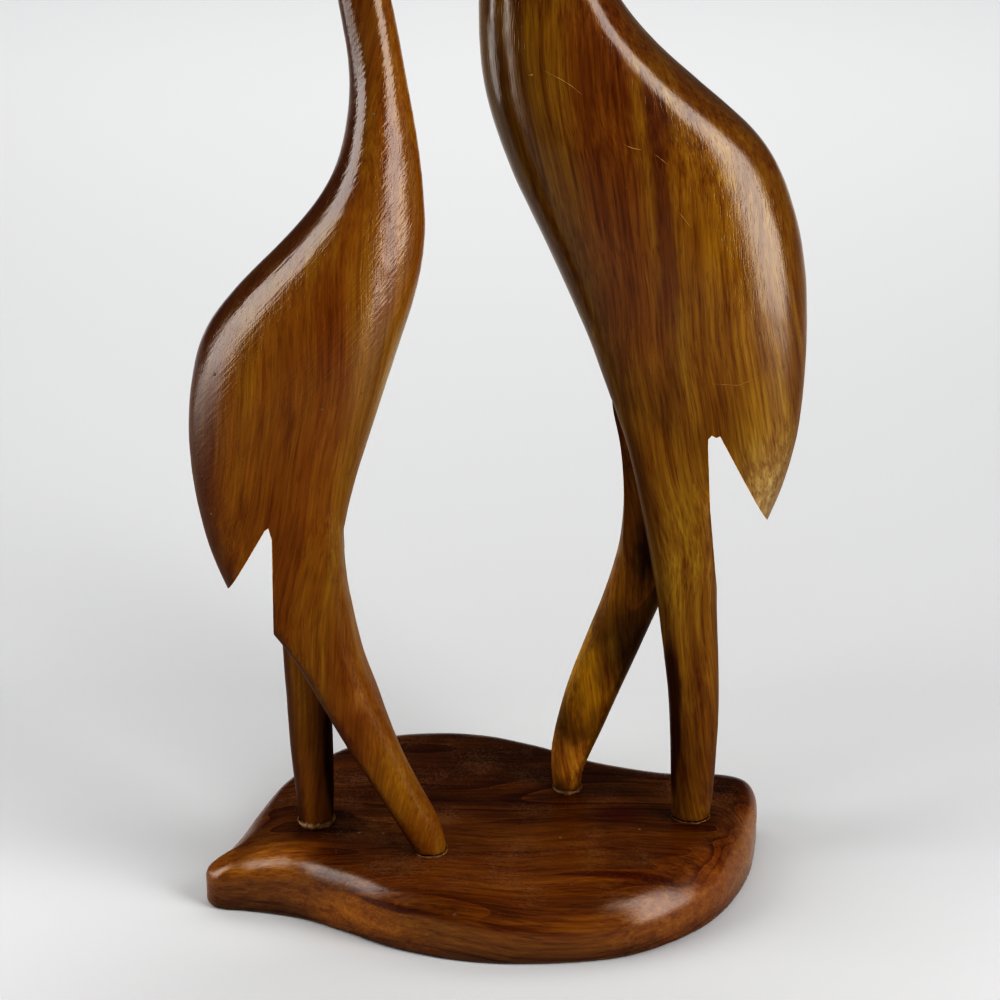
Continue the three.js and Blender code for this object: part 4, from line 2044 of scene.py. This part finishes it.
SMALLER_IBIS = CarvedIbis(
    name="smaller_ibis_carving",
    node="smaller_ibis",
    slot="red_teak",
    plane=-13.0,
    head=Head(Facing.TOWARDS_TALLER, (-31.5, 311.0), 14.5, 6.2, bill_length=38.0, bill_drop=0.5),
    body=(
        Rung((-43.8, 297.0), (-31.9, 296.0), 6.2, 2.1),
        Rung((-42.3, 281.5), (-30.2, 281.5), 6.2, 2.1),
        Rung((-39.7, 265.0), (-26.1, 265.0), 6.6, 2.1),
        Rung((-37.4, 249.0), (-23.4, 249.0), 7.2, 1.8),
        Rung((-38.5, 234.5), (-20.9, 234.0), 8.9, 1.6, 0.3, -0.2),
        Rung((-42.9, 219.5), (-19.1, 220.0), 11.0, 1.55, 0.3, -0.22),
        Rung((-53.6, 204.8), (-18.4, 205.5), 13.2, 1.55, 0.35, -0.12),
        Rung((-67.2, 191.0), (-20.2, 191.5), 15.3, 1.6, 0.45, 0.07),
        Rung((-78.2, 177.0), (-24.8, 176.5), 17.0, 1.85, 0.4, 0.2),
        Rung((-82.6, 160.0), (-30.0, 160.5), 17.4, 2.3, 0.3, 0.22),
        Rung((-83.6, 144.0), (-35.3, 144.5), 16.8, 2.6, 0.1, 0.12),
        Rung((-82.0, 128.0), (-39.9, 129.0), 15.6, 3.0, -0.2, 0.05),
        Rung((-78.8, 113.5), (-42.4, 117.0), 14.7, 4.0, -1.0),
        Rung((-74.0, 101.0), (-45.5, 106.0), 14.2, 4.0, -1.0),
    ),
    near_leg=Leg(
        (
            Rung((-59.0, 146.0), (-40.0, 146.0), 5.0, 2.4),
            Rung((-62.0, 122.0), (-42.0, 120.0), 6.4, 4.0, 2.0),
            Rung((-62.6, 105.0), (-41.6, 105.5), 6.6, 4.2, 2.0),
            Rung((-62.9, 93.5), (-39.9, 94.5), 6.6, 4.0, 2.0),
            Rung((-60.9, 89.4), (-38.9, 88.5), 6.6, 3.6, 1.0),
            Rung((-55.0, 79.0), (-36.6, 79.0), 6.5, 2.9, 0.5),
            Rung((-45.8, 61.0), (-30.4, 61.5), 6.2, 2.6, 0.2),
            Rung((-36.4, 44.0), (-23.6, 44.5), 5.8, 2.4, 0.2),
            Rung((-28.2, 28.5), (-16.2, 28.5), 5.6, 2.3),
            Rung((-23.8, BASE_THICKNESS), (-14.2, BASE_THICKNESS), 5.1, 2.2),
        ),
        fairing=3,
        side=Side.NEAR,
        flat_above=88.0,
        round_below=50.0,
    ),
    far_leg=Leg(
        (
            Rung((-59.0, 146.0), (-42.0, 146.0), 5.0, 2.4),
            Rung((-61.8, 120.0), (-43.8, 119.0), 6.4, 3.4, 2.6),
            Rung((-61.6, 101.0), (-44.4, 101.0), 6.6, 3.0, 2.6),
            Rung((-61.3, 84.0), (-45.0, 84.0), 6.4, 3.0, 0.8),
            Rung((-60.9, 68.0), (-46.8, 68.0), 6.1, 2.4),
            Rung((-60.3, 50.0), (-47.7, 50.0), 5.8, 2.3),
            Rung((-59.4, 33.0), (-47.7, 33.0), 5.5, 2.2),
            Rung((-58.5, BASE_THICKNESS), (-48.1, BASE_THICKNESS), 5.0, 2.1),
        ),
        fairing=40,
        side=Side.FAR,
        flat_above=105.0,
        round_below=85.0,
    ),
    notch=(
        (-61.6, 125.6), (-60.8, 122.0), (-61.0, 114.0), (-61.4, 96.0), (-61.6, 89.5), (-64.0, 84.0),
        (-85.2, 84.0), (-62.6, 124.8),
    ),
    kerf=(
        (-63.5, 113.0), (-30.0, 113.0), (10.0, 60.0), (10.0, 19.0), (-70.0, 19.0), (-70.0, 82.0),
        (-64.0, 90.0),
    ),
    finish=RED_TEAK,
    sawn_finish=SAWN_RED_TEAK,
)

TALLER_IBIS = CarvedIbis(
    name="taller_ibis_carving",
    node="taller_ibis",
    slot="golden_teak",
    plane=5.6,
    head=Head(Facing.TOWARDS_SMALLER, (3.5, 379.0), 18.5, 7.8, bill_length=54.0, bill_drop=0.4),
    body=(
        Rung((21.3, 362.0), (5.6, 360.5), 7.9, 2.1),
        Rung((21.6, 343.0), (6.0, 343.0), 8.0, 2.1),
        Rung((19.8, 322.0), (3.2, 322.0), 8.4, 2.1),
        Rung((18.9, 303.5), (-0.3, 302.0), 9.4, 2.1),
        Rung((21.4, 286.0), (-2.8, 284.0), 11.6, 2.1, 0.2, -0.2),
        Rung((27.8, 270.0), (-4.1, 267.5), 14.2, 2.1, 0.4, -0.3),
        Rung((37.6, 255.0), (-4.4, 252.5), 16.4, 2.15, 0.5, -0.26),
        Rung((55.3, 238.5), (-2.9, 238.5), 17.8, 2.2, 0.5, -0.06),
        Rung((72.7, 223.0), (2.1, 222.0), 18.6, 2.3, 0.2, 0.14),
        Rung((81.0, 204.5), (9.9, 204.0), 18.6, 2.5, -0.2, 0.1),
        Rung((84.8, 186.0), (18.4, 186.0), 18.2, 2.8, -0.4),
        Rung((85.8, 168.0), (26.1, 168.0), 17.4, 3.4, -0.9),
        Rung((85.2, 148.0), (31.3, 154.0), 16.2, 4.2, -1.5),
        Rung((82.2, 129.0), (33.2, 149.0), 15.2, 4.8, -1.8),
        Rung((76.6, 113.0), (34.6, 145.0), 14.6, 4.8, -1.8),
    ),
    near_leg=Leg(
        (
            Rung((57.0, 178.0), (38.0, 176.0), 5.2, 2.4),
            Rung((59.0, 156.0), (31.9, 156.0), 6.6, 4.4, 1.6),
            Rung((59.8, 141.0), (36.3, 140.0), 6.8, 4.6, 1.4),
            Rung((61.1, 122.0), (40.6, 121.5), 6.8, 4.6, 1.4),
            Rung((62.6, 106.0), (43.6, 106.0), 6.7, 4.4, 1.2),
            Rung((63.4, 86.0), (46.9, 86.0), 6.5, 3.8, 0.8),
            Rung((64.7, 64.0), (49.7, 64.0), 6.2, 3.2),
            Rung((64.8, 45.0), (51.2, 45.0), 5.8, 2.4),
            Rung((64.3, 31.0), (51.7, 31.0), 5.4, 2.2),
            Rung((63.5, BASE_THICKNESS), (52.2, BASE_THICKNESS), 5.0, 2.1),
        ),
        fairing=40,
        side=Side.NEAR,
        flat_above=100.0,
        round_below=62.0,
    ),
    far_leg=Leg(
        (
            Rung((57.0, 178.0), (38.0, 176.0), 5.2, 2.4),
            Rung((59.0, 154.0), (32.3, 152.0), 6.6, 4.4, 1.6),
            Rung((60.3, 135.0), (35.4, 134.0), 6.8, 4.4, 1.6),
            Rung((58.8, 117.0), (36.7, 117.0), 6.8, 3.8, 1.2),
            Rung((54.5, 100.0), (36.0, 102.0), 6.7, 3.2, 0.4),
            Rung((48.4, 84.0), (32.4, 87.0), 6.5, 2.8),
            Rung((42.4, 68.0), (26.3, 70.0), 6.1, 2.6),
            Rung((35.8, 51.0), (20.5, 52.0), 5.5, 2.4),
            Rung((30.0, 36.0), (17.1, 36.5), 5.0, 2.2),
            Rung((26.6, 27.0), (16.7, 27.0), 4.6, 2.2),
            Rung((25.6, BASE_THICKNESS), (17.4, BASE_THICKNESS), 4.2, 2.1),
        ),
        fairing=30,
        side=Side.FAR,
        flat_above=125.0,
        round_below=92.0,
    ),
    notch=(
        (58.4, 144.0), (59.3, 145.2), (60.6, 144.5), (61.6, 145.0), (62.4, 143.4), (83.2, 103.0),
        (83.2, 88.0), (66.0, 88.0), (63.2, 94.0), (62.0, 102.0), (60.9, 112.0), (59.8, 122.0), (59.2, 130.0),
        (58.4, 142.0),
    ),
    kerf=(
        (20.0, 150.0), (57.0, 147.0), (60.4, 140.0), (62.0, 130.0), (64.0, 118.0), (66.0, 98.0), (90.0, 95.0),
        (90.0, 19.0), (5.0, 19.0), (5.0, 100.0),
    ),
    finish=GOLDEN_TEAK,
    sawn_finish=SAWN_GOLDEN_TEAK_PAINTED_LIGHTER,
)

BASE = PlankBase(
    name="base_plank",
    node="base",
    slot="base_teak",
    outline=(
        (-85.2, -18.0), (-82.4, -22.8), (-73.5, -24.4), (-58.0, -28.2), (-43.5, -35.6), (-28.0, -44.2),
        (-5.0, -50.6), (18.0, -51.2), (42.0, -45.8), (61.2, -31.8), (73.2, -12.2), (78.6, 7.5), (79.0, 23.2),
        (71.4, 28.0), (50.0, 29.2), (30.0, 35.6), (12.0, 45.8), (-6.0, 52.8), (-25.0, 53.8), (-42.0, 48.4),
        (-58.6, 33.4), (-73.4, 7.6), (-80.6, -12.0),
    ),
    finish=BASE_TEAK,
    dents=(Dent((-12.8, -48.2, 15.5), 2.6, 0.7), Dent((-13.8, -47.6, 16.6), 1.6, 0.5)),
)

MARKS = SmallMarks(
    glue=Ridge(
        "glue_at_feet",
        DriedGlue("dried_wood_glue", "#6C4E28", "#4A3216"),
        lump_length=2.6,
        lumpiness=2.2,
        step=0.3,
        grit=0.35,
    ),
    beads=(
        GlueBead((-53.3, -4.6), 5.2, 5.1, 1.25, fullest=-80, least=0.1),
        GlueBead((-19.1, -21.4), 4.9, 5.2, 0.35, fullest=-60, least=0.4),
        GlueBead((21.5, 14.0), 4.2, 4.4, 1.15, fullest=-80, least=0.1),
        GlueBead((57.8, -2.8), 5.7, 5.1, 0.3, fullest=-90, least=0.5),
    ),
    scuff_ridge=Ridge(
        "light_scuffs",
        PlainFinish("scuffed_polish", "#86683A", 0.7),
        lump_length=1.2,
        lumpiness=3.0,
        step=0.3,
        grit=0.1,
    ),
    tall_scuffs=(
        Scuff(((8.4, 245.7), (9.7, 245.9)), 0.25),
        Scuff(((12.8, 247.1), (17.2, 245.0), (19.8, 243.4), (22.4, 241.3)), 0.1),
        Scuff(((33.5, 228.3), (35.3, 227.4), (37.9, 226.9)), 0.13),
        Scuff(((41.3, 225.8), (45.3, 222.6)), 0.08),
        Scuff(((48.3, 209.8), (51.6, 205.7)), 0.08),
        Scuff(((58.7, 160.9), (66.0, 160.3), (71.6, 162.6)), 0.06),
    ),
    specks=Specks("stuck_specks", PlainFinish("stuck_dust", "#66502F", 0.9)),
    strewn=(
        ("base", Scatter(Sight.ABOVE, (-80.0, -50.0), (78.0, 52.0), 170, 0.06, 0.19, 11)),
        ("smaller_ibis", Scatter(Sight.NEAR_SIDE, (-84.0, 30.0), (-16.0, 290.0), 80, 0.05, 0.13, 12)),
        ("taller_ibis", Scatter(Sight.NEAR_SIDE, (-4.0, 30.0), (86.0, 330.0), 90, 0.05, 0.13, 13)),
    ),
    named=(
        (
            "smaller_ibis",
            Sight.NEAR_SIDE,
            (
                (-74.5, 169.0, 0.5), (-35.4, 164.1, 0.3), (-45.9, 161.0, 0.3), (-67.5, 146.2, 0.3),
                (-39.8, 138.9, 0.3), (-39.1, 157.0, 0.25), (-77.2, 128.5, 0.3), (-31.2, 238.9, 0.4),
            ),
        ),
        (
            "base",
            Sight.ABOVE,
            ((-39.9, -13.1, 0.5), (-32.8, -13.7, 0.45), (18.8, -15.4, 0.4), (42.2, -11.0, 0.4)),
        ),
    ),
)

# The left and right lights give the tall reflections on the birds' rounded flanks, and the low one
# that on the shins and the base. The fill brightens the right side without a reflection of its own,
# and the background light brightens the floor behind. After the name come the angle round the pair,
# the distance, the width and the height.
STUDIO = Studio(
    lights=(
        SoftLight("left_light", -75, 520, 375, 510, power=2.9, aim_height=385),
        SoftLight("low_left_light", -82, 525, 500, 126, power=0.55, aim_height=65),
        SoftLight("right_light", 59, 560, 310, 860, power=4.15, aim_height=432),
        SoftLight("right_fill_light", 62, 560, 420, 860, power=1.9, aim_height=432, mirrored=False),
        SoftLight(
            "background_light", 180, 1400, 2600, 700, power=11.3, elevation=60, down=True, mirrored=False
        ),
    ),
)


def main() -> None:
    """Builds every piece, then the studio."""
    logging.basicConfig(level=logging.INFO, format="%(name)s: %(message)s")
    pieces = {made.node: made.build() for made in (BASE, SMALLER_IBIS, TALLER_IBIS)}
    MARKS.build(pieces)
    STUDIO.build()


if __name__ == "__main__":
    main()
